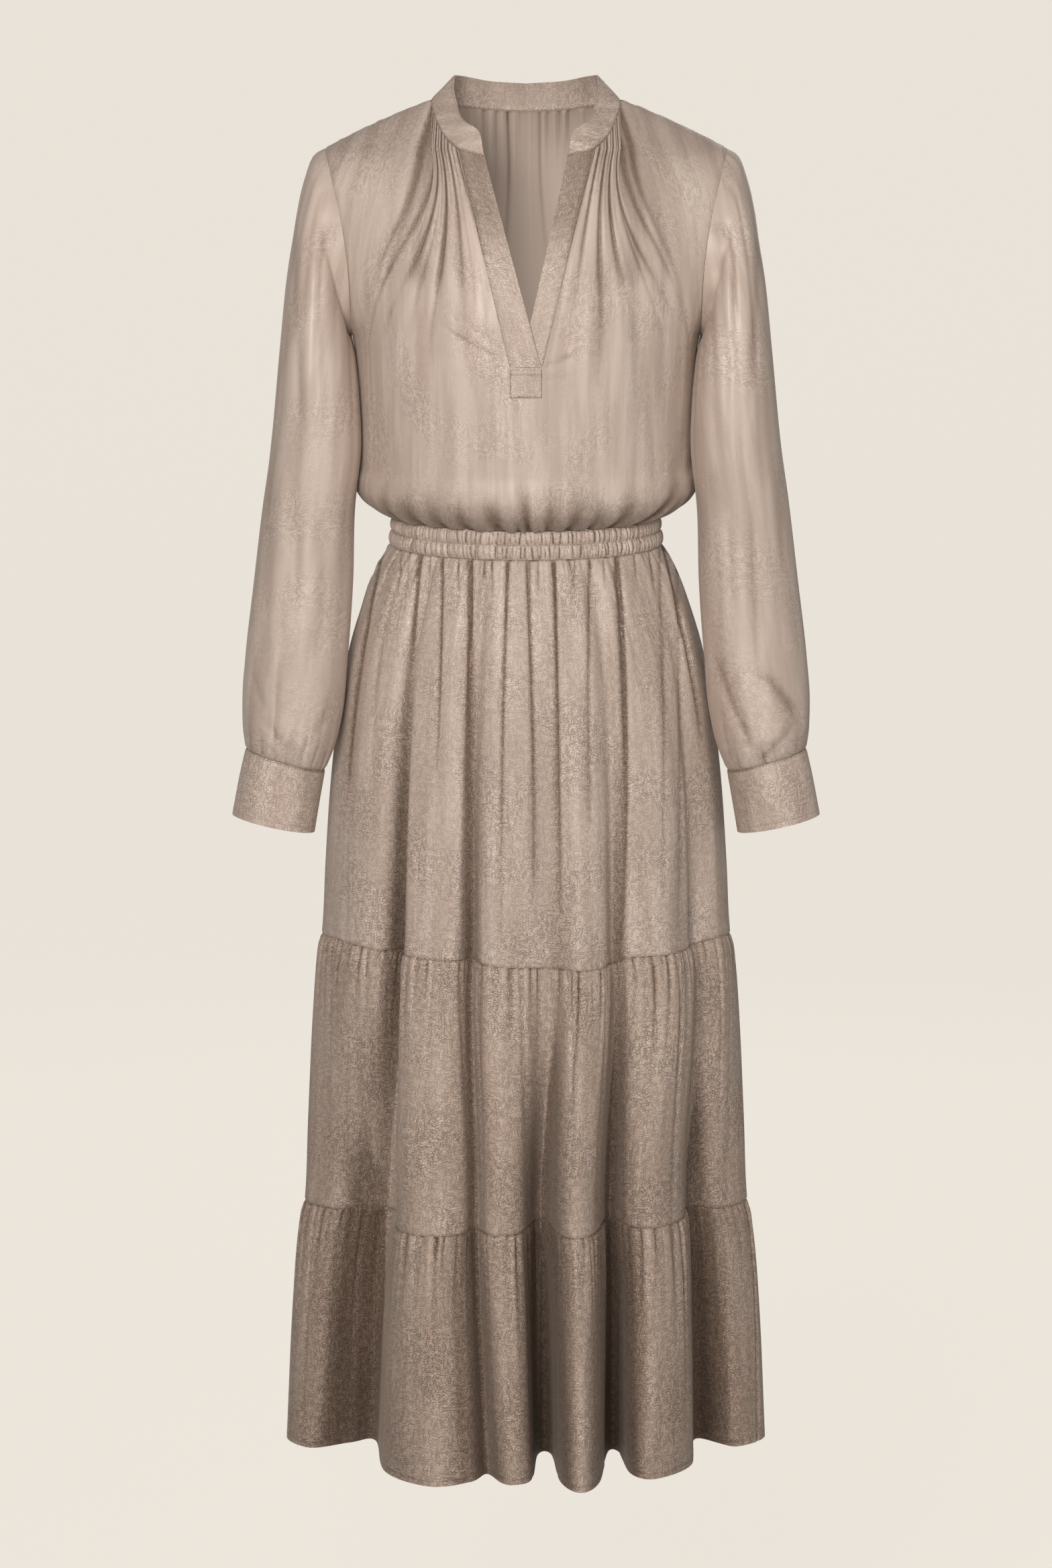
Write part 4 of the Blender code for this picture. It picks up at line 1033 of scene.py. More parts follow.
def neckSeam():
    # the neck seam from the front corner at -X round the back to +X
    front, back = [halfPanel(side)[0][0][shares <= bodice["neckShare"][side] + 1e-9] for side in (-1, 1)]
    corner = placket(opening["overEdge"], opening["lift"], -1)[0][::-1]
    right = np.concatenate([corner, (front * flip)[1:]])
    line = np.concatenate([right, (back * flip)[::-1][1:], back[1:], (right * flip)[::-1][1:]])
    lengths = lengthsAlong(line)
    places = np.linspace(0.0, lengths[-1], collar["columns"] + 1)
    return pointsAt(places, lengths, line), places


def collarGrid():
    seam, places = neckSeam()
    share = 1.0 - np.abs(2.0 * places / places[-1] - 1.0)
    table = collar["edge"]
    edge = np.stack([smoothCurve(table[:, 0], table[:, column], share) for column in (1, 2, 3)], axis=-1)
    edge[:, 0] *= np.sign(places - places[-1] / 2.0)
    down = np.linspace(0.0, 1.0, collar["rows"] + 1)[:, None, None]
    points = edge * (1.0 - down) + seam * down
    outward = points * np.array([1.0, 1.0, 0.0])
    outward /= np.linalg.norm(outward, axis=2, keepdims=True)
    points = points + outward * collar["bow"] * 4.0 * down * (1.0 - down)
    # the front corners are rounded off: the rows near the top edge start further in
    reach = lengthsAcross(points)
    radius = collar["cornerRound"]
    for row, fromTop in enumerate(lengthsAlong(points)[:, 0]):
        if fromTop < radius:
            cut = radius - math.sqrt(max(radius ** 2 - (radius - fromTop) ** 2, 0.0))
            total = reach[row, -1]
            points[row] = pointsAt(cut + (total - 2.0 * cut) * reach[row] / total, reach[row], points[row])
    return points[:, ::-1]


def makeCollar(face):
    points = collarGrid()
    below = lengthsAlong(points)
    above = below[-1] - below
    sewn = moveOut(points, seamRoll(above, 0.45, 1.2))
    # painted shade along the neck seam and the stitching
    reliefAndPaintedShade = -collar["seamShade"] * bell(above / 1.2)
    reliefAndPaintedShade -= opening["stitchShade"] * bell((below - sewing["collarEdge"]) / 0.9)
    piece = clothPiece("collar", sewn, clothMap(points), cloth["double"], face, face, reliefAndPaintedShade)
    sewIn(piece, "collar_band")
    addStitches("collarStitching", *rowLine(sewn, sewing["collarEdge"], cloth["double"]))
    addStitches("collarStitching", *rowLine(sewn, sewing["seamLines"][0], cloth["double"], True))


sleeve = {
    "rows": 124,
    "columns": 118,
    "rings": np.array([
        # outer x, outer z, inner x, inner z, half depth, forward
        (193.5, -52, 162.6, -215.8, 55, 0), (201, -72, 159.4, -219, 54.5, 5),
        (208, -102, 156.5, -228, 54, 12), (216.3, -157, 153.8, -246, 53, 20),
        (223.5, -225, 151.5, -275, 52, 26), (231.2, -303, 150.8, -318, 50.5, 28),
        (239.3, -363.5, 156.4, -368, 49, 32), (248.2, -435, 158.6, -438, 48, 34),
        (256.4, -503, 163.6, -508, 47, 38), (259.4, -545, 168.2, -556, 45.5, 40),
        (258.8, -573, 175.6, -587, 42, 42), (256.4, -589, 184.6, -609, 34, 43),
    ]),
    "cuffRings": np.array([
        (261.5, -611, 188.6, -631, 34.5, 44), (269, -649.5, 194.6, -666, 35, 45),
    ]),
    "cuffRows": 20,
    # levels, and where the middle of the arm is at each
    "armLine": ((-610.0, -350.0, -215.0, -100.0), (218.0, 195.0, 175.0, 150.0)),
    "mapRadius": 52.0,              # of the tube that the satin's pattern is laid on
    # creases: start x, z, end x, z, width, depth, bend
    "creasesLeft": [
        (212, -80, 196, -330, 7, 1.6, 3), (188, -110, 178, -300, 6, 1.3, 2),
        (228, -300, 232, -520, 7, 1.2, 2), (205, -330, 214, -540, 8, 1.4, -2),
        (182, -360, 186, -520, 6, 1.2, 2), (172, -490, 212, -592, 8, 2.6, -5),
        (196, -552, 214, -604, 6, 1.6, -2), (208, -508, 254, -572, 11, 2.8, 4),
        (246, -558, 200, -606, 6.5, 2.2, 3), (176, -540, 190, -606, 6, 1.4, -1),
    ],
    "creasesRight": [
        (-210, -80, -198, -330, 7, 1.5, -3), (-186, -120, -178, -300, 6, 1.2, -2),
        (-230, -300, -236, -520, 7, 1.2, -2), (-206, -330, -212, -540, 8, 1.3, 2),
        (-182, -360, -184, -530, 6, 1.1, -2), (-244, -548, -206, -596, 6.5, 1.6, -2),
        (-176, -540, -210, -596, 6, 1.4, 3), (-250, -510, -226, -566, 7, 1.2, -3),
    ],
    # uneven folds: width, depth and the three lengths
    "pleatSpacing": 11.0,
    "pleats": (2.2, 1.9, (26.0, 50.0, 90.0)),
    "softSpacing": 16.0,
    "softFolds": (4.4, 1.5, (220.0, 340.0, 520.0)),
    # fold heights in millimetres at which the painted shade is full
    "pleatShadeDepth": 2.4,
    "softShadeDepth": 4.0,
    "creaseShadeDepth": 2.7,
    "cuffSeamShade": 0.5,
    "cuffShade": 0.38,              # on the side of the cuff next to the skirt
    "cuffShadeX": 214.0,
    "brightness": 0.99,
    "reliefAndPaintedShade": 0.55,
    "patch": 0.90,
}
sleeveTurns = np.linspace(0.0, 2.0 * math.pi, sleeve["columns"], endpoint=False)


def armholeRing():
    levels = armMiddle + armHalf * np.cos(sleeveTurns)
    return np.stack([bodiceWidth(levels), -bodice["armholeDepth"] * np.sin(sleeveTurns), levels], axis=-1)


def sleeveRing(row):
    outerX, outerZ, innerX, innerZ, depth, forward = row
    outer = np.array([outerX, -forward, outerZ])
    inner = np.array([innerX, -forward, innerZ])
    return ((outer + inner) / 2.0 + (outer - inner) / 2.0 * np.cos(sleeveTurns)[:, None]
            + np.array([0.0, -depth, 0.0]) * np.sin(sleeveTurns)[:, None])


def throughRings(rings, rows, hand):
    # smooth surface through a few rings, its rows evenly spaced, for the arm of that hand
    stack = np.stack(rings)
    stations = np.concatenate([[0.0], np.cumsum(np.linalg.norm(np.diff(stack, axis=0), axis=2).mean(axis=1))])
    places = np.linspace(0.0, stations[-1], rows + 1)
    span = np.clip(np.searchsorted(stations, places) - 1, 0, len(stations) - 2)
    width = np.diff(stations)[span]
    share = ((places - stations[span]) / width)[:, None, None]
    slopes = np.gradient(stack, stations, axis=0)
    leaving, arriving = [width[:, None, None] * slopes[span + step] for step in (0, 1)]
    points = easedBetween(share, stack[span], stack[span + 1], leaving, arriving)
    return points[:, ::-1] if hand > 0 else points * flip


def sleeveMap(points, hand):
    # flat place by bearing round the arm and by level, so that the sheen runs straight down from the shoulder
    ring = closedUp(points)
    middle = np.interp(ring[..., 2], *sleeve["armLine"])
    bearing = np.unwrap(np.arctan2(ring[..., 1], hand * ring[..., 0] - middle), axis=1)
    return np.stack([sleeve["mapRadius"] * bearing, ring[..., 2]], axis=-1)


def sleeveFolds(points, hand, creases):
    # height of the sleeve's folds, and their painted shade
    below = lengthsAlong(points)
    fromCuff = below[-1] - below
    around = lengthsAlong(np.concatenate([points[-1], points[-1, :1]]))
    pleats = manyGathers(2.0, around[-1] - 2.0, sleeve["pleatSpacing"], 40 + hand, *sleeve["pleats"])
    height = gathered(around[:-1], fromCuff, pleats)
    soft = softBands(around[:-1], below, sleeve["softSpacing"], 51 + hand, *sleeve["softFolds"])
    reliefAndPaintedShade = height / sleeve["pleatShadeDepth"] + soft / sleeve["softShadeDepth"]
    forward = sleeve["rings"][-1][5]
    front = points[..., 1] < -forward * np.clip(-points[..., 2] / 600.0, 0.0, 1.0)
    behind = [(x1, z1 - 25.0, x2, z2 - 10.0, width, 0.8 * depth, -bend)
              for x1, z1, x2, z2, width, depth, bend in creases]
    creasing = np.where(front, creased(points, creases), creased(points, behind))
    reliefAndPaintedShade = (reliefAndPaintedShade + creasing / sleeve["creaseShadeDepth"]) * smoothStep(below / 6.0)
    reliefAndPaintedShade -= sleeve["cuffSeamShade"] * bell(fromCuff / 1.6)
    height = (height + soft + creasing) * smoothStep(below / 10.0) * smoothStep(fromCuff / 2.5)
    return height + seamRoll(below, 0.6, 1.6) + seamRoll(fromCuff, 0.9, 1.6), reliefAndPaintedShade


def makeSleeves(face, cuffFace, lining):
    rings = [sleeveRing(row) for row in sleeve["rings"]]
    cuffRings = rings[-1:] + [sleeveRing(row) for row in sleeve["cuffRings"]]
    for hand, word, creases in ((1, "left", sleeve["creasesLeft"]), (-1, "right", sleeve["creasesRight"])):
        points = throughRings([armholeRing()] + rings, sleeve["rows"], hand)
        height, reliefAndPaintedShade = sleeveFolds(points, hand, creases)
        piece = clothPiece(word + "Sleeve", moveOut(points, height, True), sleeveMap(points, hand),
                           cloth["single"], face, lining, reliefAndPaintedShade, closed=True)
        sewIn(piece, "sleeve_" + word)

        points = throughRings(cuffRings, sleeve["cuffRows"], hand)
        below = lengthsAlong(points)
        sewn = moveOut(points, seamRoll(below, 0.7, 1.3), True)
        # painted shade along the seam and on the cuff's side next to the skirt
        reliefAndPaintedShade = -collar["seamShade"] * bell(below / 1.3)
        reliefAndPaintedShade -= sleeve["cuffShade"] * smoothStep((sleeve["cuffShadeX"] - np.abs(points[..., 0])) / 14.0)
        piece = clothPiece(word + "Cuff", sewn, clothMap(points, True), cloth["double"],
                           cuffFace, lining, reliefAndPaintedShade, closed=True)
        sewIn(piece, "cuff_" + word)
        for distance, fromEnd in ((sewing["cuffSeam"], False), (sewing["cuffEdge"], True)):
            addStitches(word + "CuffStitching", *rowLine(closedUp(sewn), distance, cloth["double"], fromEnd))


skirt = {
    "waistZ": -405.0,
    "seamZ": (-405.0, -768.0, -1022.0, -1250.0),
    "foldStart": 0.16,          # share of a large fold's depth that is there below the waist
    "foldFade": 1.15,           # how late the rest of it comes down the first tier
    "sizes": np.array([
        # level, half width, front depth, back depth
        (-405, 124.2, 90.5, 83.5), (-413, 129.5, 94.5, 88), (-426, 137, 99, 95), (-460, 150, 107, 107),
        (-503, 163, 112.5, 117), (-546, 171, 115, 122), (-632, 181, 117, 128), (-700, 185.6, 118, 131),
        (-768, 189.5, 120, 134), (-780, 192.6, 123, 137), (-843, 198.2, 132, 141), (-945, 203.4, 143, 147),
        (-1022, 207, 150, 152), (-1034, 210.2, 153, 155), (-1126, 219, 159, 160), (-1250, 225, 165, 166),
    ]),
    # large folds from the -X side over the front to +X and round the back: bearing and sink at the
    # first seam, then x and y at the second seam and at the hem in shares of the ring's half sizes
    "folds": np.array([
        (-90, 0, -1, 0.03, -1, 0.03), (-66, 3, -0.868, -0.235, -0.9, -0.235),
        (-48, 5, -0.7, -0.215, -0.735, -0.125), (-40.5, 34, -0.59, -0.27, -0.628, -0.08),
        (-36.5, 5, -0.56, -0.85, -0.574, -0.745), (-25, -4, -0.405, -1.01, -0.39, -1.05),
        (-19.2, 2, -0.28, -0.945, -0.226, -0.955), (-16, 20, -0.222, -0.795, -0.16, -0.79),
        (-12.2, 1, -0.168, -0.95, -0.1, -0.97), (-8, -4, -0.112, -0.99, -0.05, -1.02),
        (-1, 2, -0.022, -0.905, 0.022, -0.905), (4.8, 10, 0.046, -0.58, 0.049, -0.38),
        (8, 10, 0.094, -0.58, 0.105, -0.38), (11, 3, 0.138, -0.935, 0.142, -0.96),
        (15.5, -5, 0.222, -1.07, 0.222, -1.18), (22.2, 3, 0.304, -0.93, 0.298, -0.96),
        (25.8, 18, 0.356, -0.53, 0.336, -0.34), (28, 18, 0.394, -0.51, 0.384, -0.33),
        (31.5, 5, 0.448, -0.715, 0.428, -0.78), (42, -3, 0.57, -0.775, 0.525, -0.895),
        (53, 5, 0.69, -0.56, 0.676, -0.61), (59, 15, 0.728, -0.19, 0.708, -0.045),
        (72, 2, 0.872, -0.22, 0.872, -0.21), (90, 0, 1, 0.03, 1, 0.03), (103, 10, 0.88, 0.33, 0.868, 0.32),
        (113, -2, 0.85, 0.545, 0.86, 0.56), (122, -1, 0.765, 0.675, 0.77, 0.7),
        (133, 16, 0.64, 0.59, 0.62, 0.56), (142, -2, 0.555, 0.8, 0.56, 0.835),
        (150, -2, 0.455, 0.88, 0.465, 0.91), (158, 16, 0.352, 0.715, 0.345, 0.68),
        (165, -3, 0.268, 0.95, 0.275, 0.985), (171, -3, 0.165, 0.98, 0.17, 1.01),
        (177, 14, 0.065, 0.82, 0.07, 0.785), (184, -3, -0.035, 0.975, -0.028, 1.015),
        (190, -3, -0.15, 0.965, -0.15, 0.995), (196, 19, -0.245, 0.755, -0.245, 0.7),
        (202, -3, -0.33, 0.93, -0.335, 0.965), (209, -2, -0.45, 0.87, -0.455, 0.895),
        (217, 17, -0.55, 0.68, -0.555, 0.625), (226, -2, -0.65, 0.75, -0.655, 0.775),
        (236, -1, -0.77, 0.64, -0.775, 0.66), (249, 11, -0.85, 0.4, -0.85, 0.385),
    ]),
    "frontEnd": 23,             # the fold at the side seam, where the front panels end
    # how much lower the first seam lies in front than its plain ring: x, drop
    "seamDip": np.array([(-186.0, -3.0), (-113.0, 5.0), (-56.0, 7.0), (-14.0, 12.0), (56.0, 15.0), (78.0, 13.0),
                         (96.0, 6.0), (134.0, 5.0), (186.0, -5.0)]),
    "dipReach": 110.0,          # how far up and down the cloth follows the seam
    # painted shade of all three tiers: a gather's height at full shade, then how dark the painted shade along
    # the upper seam, in the narrow recesses and along the hem's stitching is
    "gatherShadeDepth": 1.9,
    "seamShade": 0.6,
    "narrowShade": 0.65,
    "hemShade": 0.25,
    # columns, rows and flat size of the front and of the back; gathers and bands are spacing, seed,
    # width, depth and the three lengths, as for the bodice
    # each tier also gives a band's height at full painted shade, the painted shade in its wide recesses, and a
    # brightness that falls down the tiers as painted shade of light falling off towards the hem
    "tiers": [
        {
            "name": "Tier1", "node": "tier_1_", "columns": (480, 300), "rows": (62, 50),
            "gathers": (8.5, 60, 1.8, 3.0, (42.0, 80.0, 140.0)),
            "bands": (26.0, 71, 5.0, 1.6, (160.0, 260.0, 360.0)), "bandShadeDepth": 4.0, "recessShade": 0.45,
            "brightness": 0.95, "reliefAndPaintedShade": 1.15, "patch": 0.55, "flat": ((0.52, 0.365), (0.53, 0.365)),
        },
        {
            "name": "Tier2", "node": "tier_2_", "columns": (620, 320), "rows": (44, 40),
            "gathers": (8.5, 70, 1.6, 3.0, (26.0, 40.0, 75.0)),
            "bands": (14.0, 72, 3.6, 2.6, (70.0, 130.0, 240.0)), "bandShadeDepth": 3.4, "recessShade": 0.10,
            "brightness": 0.79, "reliefAndPaintedShade": 1.35, "patch": 0.45, "flat": ((0.70, 0.262), (0.64, 0.262)),
        },
        {
            "name": "Tier3", "node": "tier_3_", "columns": (640, 340), "rows": (42, 38),
            "gathers": (9.0, 80, 1.7, 3.2, (24.0, 38.0, 70.0)),
            "bands": (15.0, 73, 3.8, 2.6, (60.0, 110.0, 220.0)), "bandShadeDepth": 3.4, "recessShade": 0.30,
            "brightness": 0.73, "reliefAndPaintedShade": 1.4, "patch": 0.40, "flat": ((1.05, 0.236), (0.79, 0.236)),
        },
    ],
    # folds that hang from the waist in front: x and z at the top, middle and end, width, depth, and
    # which side of the line is the soft one; behind they hang mirrored and a little higher
    "hanging": [
        (-131.1, -409, -153.4, -524, -163.6, -629, 2.4, 5, 0),
        (-113.8, -411, -114.8, -424, -117.2, -448, 1.4, 2.6, 0),
        (-105.6, -411, -107.4, -424, -110.3, -453, 1.4, 2.4, 0),
        (-95.7, -411, -104.6, -543, -111.9, -776, 2.2, 5, -1),
        (-87, -412, -87.6, -425, -88.7, -440, 1.3, 2.6, 0),
        (-75.4, -415, -77, -502, -80.9, -608, 1.8, 3.6, -1),
        (-61.3, -411, -61.3, -428, -60.6, -450, 1.6, 3.6, 0),
        (-49.7, -412, -49.1, -540, -54.9, -779, 2.6, 6.5, -1),
        (-37.6, -413, -37.6, -420, -38.2, -431, 1.1, 2.2, 0),
        (-30.9, -413, -30.9, -425, -30.3, -443, 1.3, 2.8, 0),
        (-16.4, -416, -19.4, -509, -21.9, -754, 2.2, 3.4, -0.6),
        (0.6, -417, 4.8, -509, 7.3, -729, 2.8, 3.4, 0), (10.9, -413, 10.9, -427, 11.5, -445, 1.3, 2.8, 0),
        (26, -413, 27.8, -511, 30.4, -730, 1.8, 5, -1), (44.3, -412, 44.2, -420, 43.6, -434, 1.2, 2.4, 0),
        (58.3, -411, 57, -512, 58.4, -663, 2.2, 3.2, -0.6), (70.5, -411, 71, -421, 71.6, -438, 1.2, 2.6, 0),
        (83.3, -411, 89.3, -512, 84.2, -774, 2.6, 6.2, -1),
        (98.8, -410, 99.3, -420, 100.5, -436, 1.3, 2.6, 0),
        (112.5, -411, 114.8, -424, 117.1, -449, 1.4, 2.8, 0),
        (125.5, -405, 142.2, -475, 161.6, -586, 2.2, 4.2, 0),
        (132.9, -402, 145.3, -435, 155.3, -478, 1.8, 3, 0), (122.7, -454, 125.7, -575, 123, -759, 3, 2.2, 0),
        (139.4, -516, 140.8, -638, 138.7, -773, 3, 2.2, 0),
    ],
    "hangingRise": 11.0,
    "recessReach": (1.3, 4.5),  # degrees of the ring that shade a narrow and a wide recess
    "recessDepth": 15.0,
}


def skirtSizes(level):
    return [float(smoothCurve(skirt["sizes"][:, 0], skirt["sizes"][:, column], level)) for column in (1, 2, 3)]


def foldControls(level):
    # where each large fold lies at a level
    bearing, sink, seamX, seamY, hemX, hemY = skirt["folds"].T
    width, front, back = skirtSizes(level)
    roundX, roundY = np.sin(np.radians(bearing)), -np.cos(np.radians(bearing))

    def placed(shareX, shareY):
        return np.stack([shareX * width, shareY * np.where(shareY < 0.0, front, back)], axis=-1)

    normal = np.stack([roundX / width, roundY / np.where(roundY < 0.0, front, back)], axis=-1)
    normal /= np.linalg.norm(normal, axis=1)[:, None]
    top, seam1, seam2, hem = skirt["seamZ"]
    drop = np.clip((top - level) / (top - seam1), 0.0, 1.0)
    growth = skirt["foldStart"] * min(1.0, drop * 12.0) + (1.0 - skirt["foldStart"]) * drop ** skirt["foldFade"]
    upper = placed(roundX, roundY) - normal * sink[:, None] * growth
    toSeam = smoothStep((seam1 - level) / (seam1 - seam2))
    toHem = np.clip((seam2 - level) / (seam2 - hem), 0.0, 1.0)
    return (upper * (1.0 - toSeam) + placed(seamX, seamY) * toSeam) * (1.0 - toHem) + placed(hemX, hemY) * toHem


def closedSpline(controls, places):
    index = np.floor(places).astype(int)
    before, start, end, after = [controls[(index + step) % len(controls)] for step in (-1, 0, 1, 2)]
    return easedBetween((places - index)[:, None], start, end, (end - before) / 2.0, (after - start) / 2.0)


def skirtRing(level, places):
    plan = closedSpline(foldControls(level), places)
    tilt = bodice["waistTilt"] * smoothStep((level - skirt["waistZ"]) / 120.0 + 1.0)
    dip = smoothCurve(*skirt["seamDip"].T, plan[:, 0]) * smoothStep(-plan[:, 1] / 60.0)
    dip = dip * bell((level - skirt["seamZ"][1]) / skirt["dipReach"])
    return np.concatenate([plan, (level + tilt * plan[:, 1] - dip)[:, None]], axis=1)


def evenPlaces(level, start, end, count):
    dense = np.linspace(start, end, 2400)
    along = lengthsAlong(skirtRing(level, dense))
    return np.interp(np.linspace(0.0, along[-1], count + 1), along, dense)


def openness(points, reach=12.0):
    # near 1 where a row runs straight, near 0 inside a tight fold
    step = np.linalg.norm(np.diff(points, axis=1), axis=2)
    count = max(2, int(round(reach / step.mean())))
    padded = np.pad(points, ((0, 0), (count, count), (0, 0)), mode="edge")
    chord = np.linalg.norm(padded[:, 2 * count:] - padded[:, :-2 * count], axis=2)
    run = np.pad(step, ((0, 0), (count, count)), mode="constant")
    total = np.concatenate([np.zeros((run.shape[0], 1)), np.cumsum(run, axis=1)], axis=1)
    path = total[:, 2 * count:] - total[:, :total.shape[1] - 2 * count]
    return np.clip(chord / np.maximum(path, 1e-6), 0.0, 1.0) ** 3


def hangingFolds(points, mirror, rise):
    # narrow folds that hang nearly straight down; the soft side slopes, the other side is sharp
    across = mirror * points[..., 0]
    height = np.zeros(across.shape)
    for startX, startZ, middleX, middleZ, endX, endZ, width, depth, soft in skirt["hanging"]:
        startZ, middleZ = startZ + rise, middleZ + rise
        run = (startZ - points[..., 2]) / (startZ - endZ)
        knee = (startZ - middleZ) / (startZ - endZ)
        inside = np.clip(run, 0.0, 1.0)
        bow = (middleX - startX * (1.0 - knee) - endX * knee) / (knee * (1.0 - knee))
        line = startX * (1.0 - inside) + endX * inside + bow * inside * (1.0 - inside)
        offset = (across - line) / (width * (0.8 + 0.7 * inside))
        offset = np.where(offset * soft > 0.0, offset / (1.0 + 1.3 * abs(soft)), offset)
        height -= depth * slit(offset) * np.where(run < 0.0, 1.0, (1.0 - inside) ** 0.40)
    return height


def recesses(points, level, reach):
    # how far a point lies behind the cloth within a reach in degrees on both sides of it, from 0 to 1
    width, front, back = skirtSizes(level)
    reach = math.radians(reach)
    deep = np.zeros(points.shape[:2])
    for row, ring in enumerate(points):
        depth = np.where(ring[:, 1] < 0.0, front, back)
        bearing = np.arctan2(ring[:, 0] / width, -ring[:, 1] / depth)
        out = np.hypot(ring[:, 0] / width, ring[:, 1] / depth)
        near = np.abs(bearing[:, None] - bearing) < reach
        rim = np.where(near, out, 0.0).max(axis=1)
        deep[row] = np.clip((rim - out) * depth / skirt["recessDepth"], 0.0, 1.0)
    return deep


def tierGrid(index, back):
    # plain form of one panel, its rows close together at the seams
    tier = skirt["tiers"][index]
    top, low = skirt["seamZ"][index:index + 2]
    start, end = (skirt["frontEnd"], len(skirt["folds"])) if back else (0, skirt["frontEnd"])
    places = evenPlaces((top + 2.0 * low) / 3.0, start, end, tier["columns"][back])
    share = np.linspace(0.0, 1.0, tier["rows"][back] + 1)
    levels = top + (low - top) * (share - 0.13 * np.sin(2.0 * math.pi * share))
    return np.stack([skirtRing(level, places) for level in levels])


def tierFolds(points, index, back):
    # height of a panel's gathers and folds, and the painted shade of them
    tier = skirt["tiers"][index]
    below = lengthsAlong(points)
    above = below[-1] - below
    across = lengthsAcross(points)
    along = across[0] - across[0, -1] / 2.0
    spacing, seed, *kind = tier["gathers"]
    gathers = manyGathers(along[0] + 2.0, along[-1] - 2.0, spacing, seed + back, *kind)
    if index == 0 and not back:
        # short and straight, since the long ones hang from the waist
        gathers = [(place, width, 0.65 * depth, 0.42 * length, 0.0)
                   for place, width, depth, length, drift in gathers]
    height = gathered(along, below, gathers)
    soft = softBands(along, below, *tier["bands"])
    if index == 0:
        hanging = hangingFolds(points, -1.0 if back else 1.0, skirt["hangingRise"] * back)
        height += hanging * smoothStep(below / 3.0)
    openShare = openness(points)
    low = skirt["seamZ"][index + 1]
    narrow, wide = [recesses(points, low, reach) for reach in skirt["recessReach"]]
    # painted shade in the gathers, bands and recesses, and along the seam and the hem's stitching
    reliefAndPaintedShade = (height / skirt["gatherShadeDepth"] + soft / tier["bandShadeDepth"]) * openShare * (1.0 - wide)
    reliefAndPaintedShade -= (skirt["seamShade"] * bell(below / 1.6) + tier["recessShade"] * wide
               + skirt["narrowShade"] * narrow)
    height = (height + soft) * openShare
    height = height * smoothStep(np.minimum(across, across[:, -1:] - across) / 5.0)
    if index < 2:
        height = height * smoothStep(above / 4.0) + seamRoll(above, 1.1, 1.2)
    else:
        reliefAndPaintedShade -= skirt["hemShade"] * bell((above - sewing["hem"]) / 1.1)
    return height + seamRoll(below, 1.1, 1.2), reliefAndPaintedShade


def makeTiers():
    for index, tier in enumerate(skirt["tiers"]):
        face = satinMaterial("satin" + tier["name"], tier)
        lining = insideMaterial("inside" + tier["name"], tier["brightness"])
        for back, word in enumerate(("front", "back")):
            form = tierGrid(index, back)
            height, reliefAndPaintedShade = tierFolds(form, index, back)
            points = moveOut(form, height)
            if index == 2:
                addStitches("hemStitching", *rowLine(points, sewing["hem"], cloth["single"], True))
            flatMap = clothMap(form)
            across = lengthsAcross(form)[tier["rows"][back] // 2]
            flatMap[..., 0] = across - across[-1] / 2.0
            piece = clothPiece(word + tier["name"], points, flatMap, cloth["single"], face, lining, reliefAndPaintedShade)
            sewIn(piece, tier["node"] + word)


waistband = {
    "rows": 20,
    "columns": 960,
    "roundDepth": 90.0,
    "puff": 2.2,
    "ruches": (0.95, 2.6, (8.0, 10.0, 16.0), 0.18),     # width, depth, lengths, drift
    "spacing": 3.7,
    # painted highlight on the puffs, painted shade over the whole band, and a ruche's depth at full painted
    # shade
    "puffHighlight": 0.35,
    "shade": 0.30,
    "ruchShadeDepth": 1.6,
    "brightness": 0.96,
    "reliefAndPaintedShade": 0.8,
    "patch": 0.5,
}


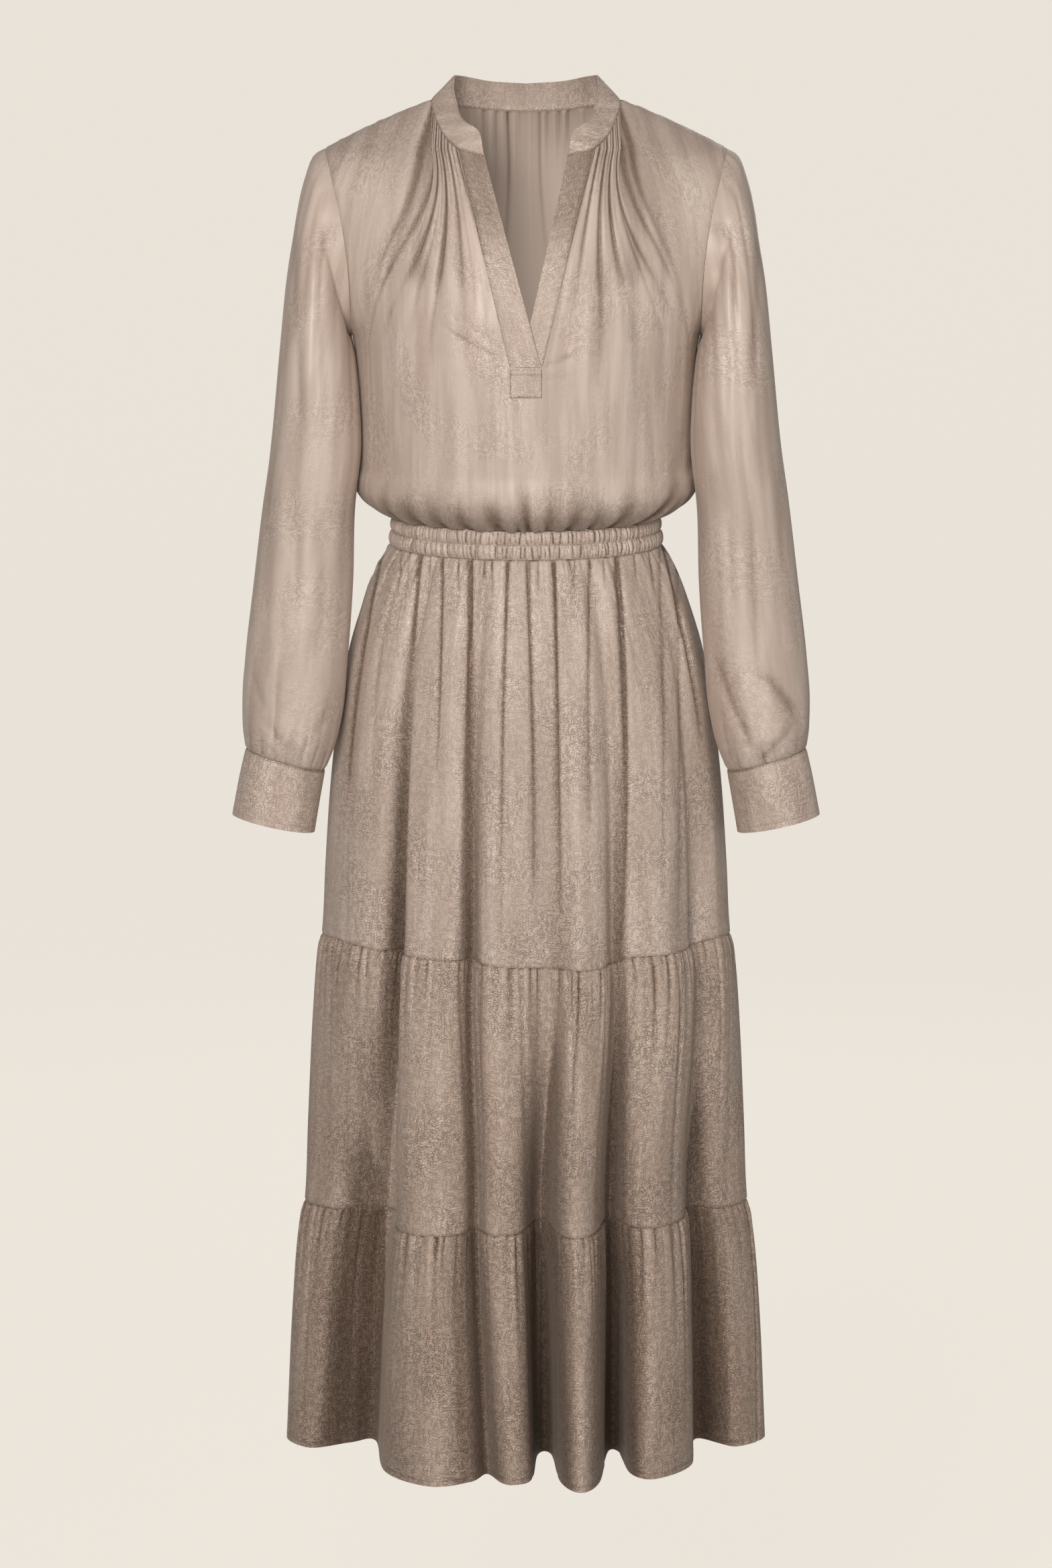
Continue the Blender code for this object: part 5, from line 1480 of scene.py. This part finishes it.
def waistbandGrid():
    # plain band between the edge of the bodice and the top of the skirt
    quarter = math.pi / 2.0
    halves = [bodicePoint(np.linspace(side * quarter, -side * quarter, waistband["columns"] // 2 + 1),
                          np.full(waistband["columns"] // 2 + 1, bodice["waistZ"]), side) for side in (-1, 1)]
    ring = np.concatenate([halves[0], halves[1][1:-1]])
    angle = np.arctan2(ring[:, 0] / ring[:, 0].max(), -ring[:, 1] / waistband["roundDepth"])
    width, frontDepth, backDepth = skirtSizes(skirt["waistZ"])
    lowY = -np.where(np.cos(angle) > 0.0, frontDepth, backDepth) * np.cos(angle)
    low = np.stack([width * np.sin(angle), lowY, skirt["waistZ"] + bodice["waistTilt"] * lowY], axis=-1)
    share = np.linspace(0.0, 1.0, waistband["rows"] + 1)[:, None]
    return ring * (1.0 - share[..., None]) + low * share[..., None], share


def makeWaistband(face, lining):
    points, share = waistbandGrid()
    around = lengthsAlong(points[10])
    height = np.abs(np.sin(2.0 * math.pi * share)) ** 0.8 * waistband["puff"] * np.ones((1, points.shape[1]))
    # painted highlight on the puffs, painted shade over the band and down in each ruche
    reliefAndPaintedShade = waistband["puffHighlight"] * height / waistband["puff"] - waistband["shade"]
    for rowHalf in (0, 1):
        top = 0.5 * rowHalf
        ruches = manyGathers(0.0, around[-1], waistband["spacing"], 90 + rowHalf, *waistband["ruches"])
        inHalf = smoothStep((share - top) / 0.08) * smoothStep((top + 0.5 - share) / 0.08)
        for place, width, depth, length, drift in ruches:
            offset = (around - place - drift * 26.0 * (share - top - 0.25)) / width
            ruch = depth * slit(offset) * inHalf
            height -= ruch
            reliefAndPaintedShade -= ruch / waistband["ruchShadeDepth"]
    sewn = moveOut(points, height, True)
    piece = clothPiece("elasticWaist", sewn, clothMap(points, True), cloth["single"], face, lining, reliefAndPaintedShade,
                       closed=True)
    sewIn(piece, "waistband")
    groove = closedUp(sewn)
    middle = waistband["rows"] // 2
    out = outwards(groove)[middle]
    addStitches("waistStitching", groove[middle] + out * 0.4, out)


addCamera()
addBackdrop()
addLights()
print("camera, backdrop and lights are in place")
bodiceInside = insideMaterial("insideBodice")
makeBodice(satinMaterial("satinBodice", bodice), bodiceInside)
trimFace = satinMaterial("satinTrim", opening)
makePlackets(trimFace, bodiceInside)
makeTab(trimFace, bodiceInside)
makeCollar(trimFace)
makeSleeves(satinMaterial("satinSleeves", sleeve), trimFace, bodiceInside)
makeWaistband(satinMaterial("satinWaist", waistband), bodiceInside)
makeTiers()
makeStitching()
bpy.context.scene.view_settings.view_transform = "Standard"
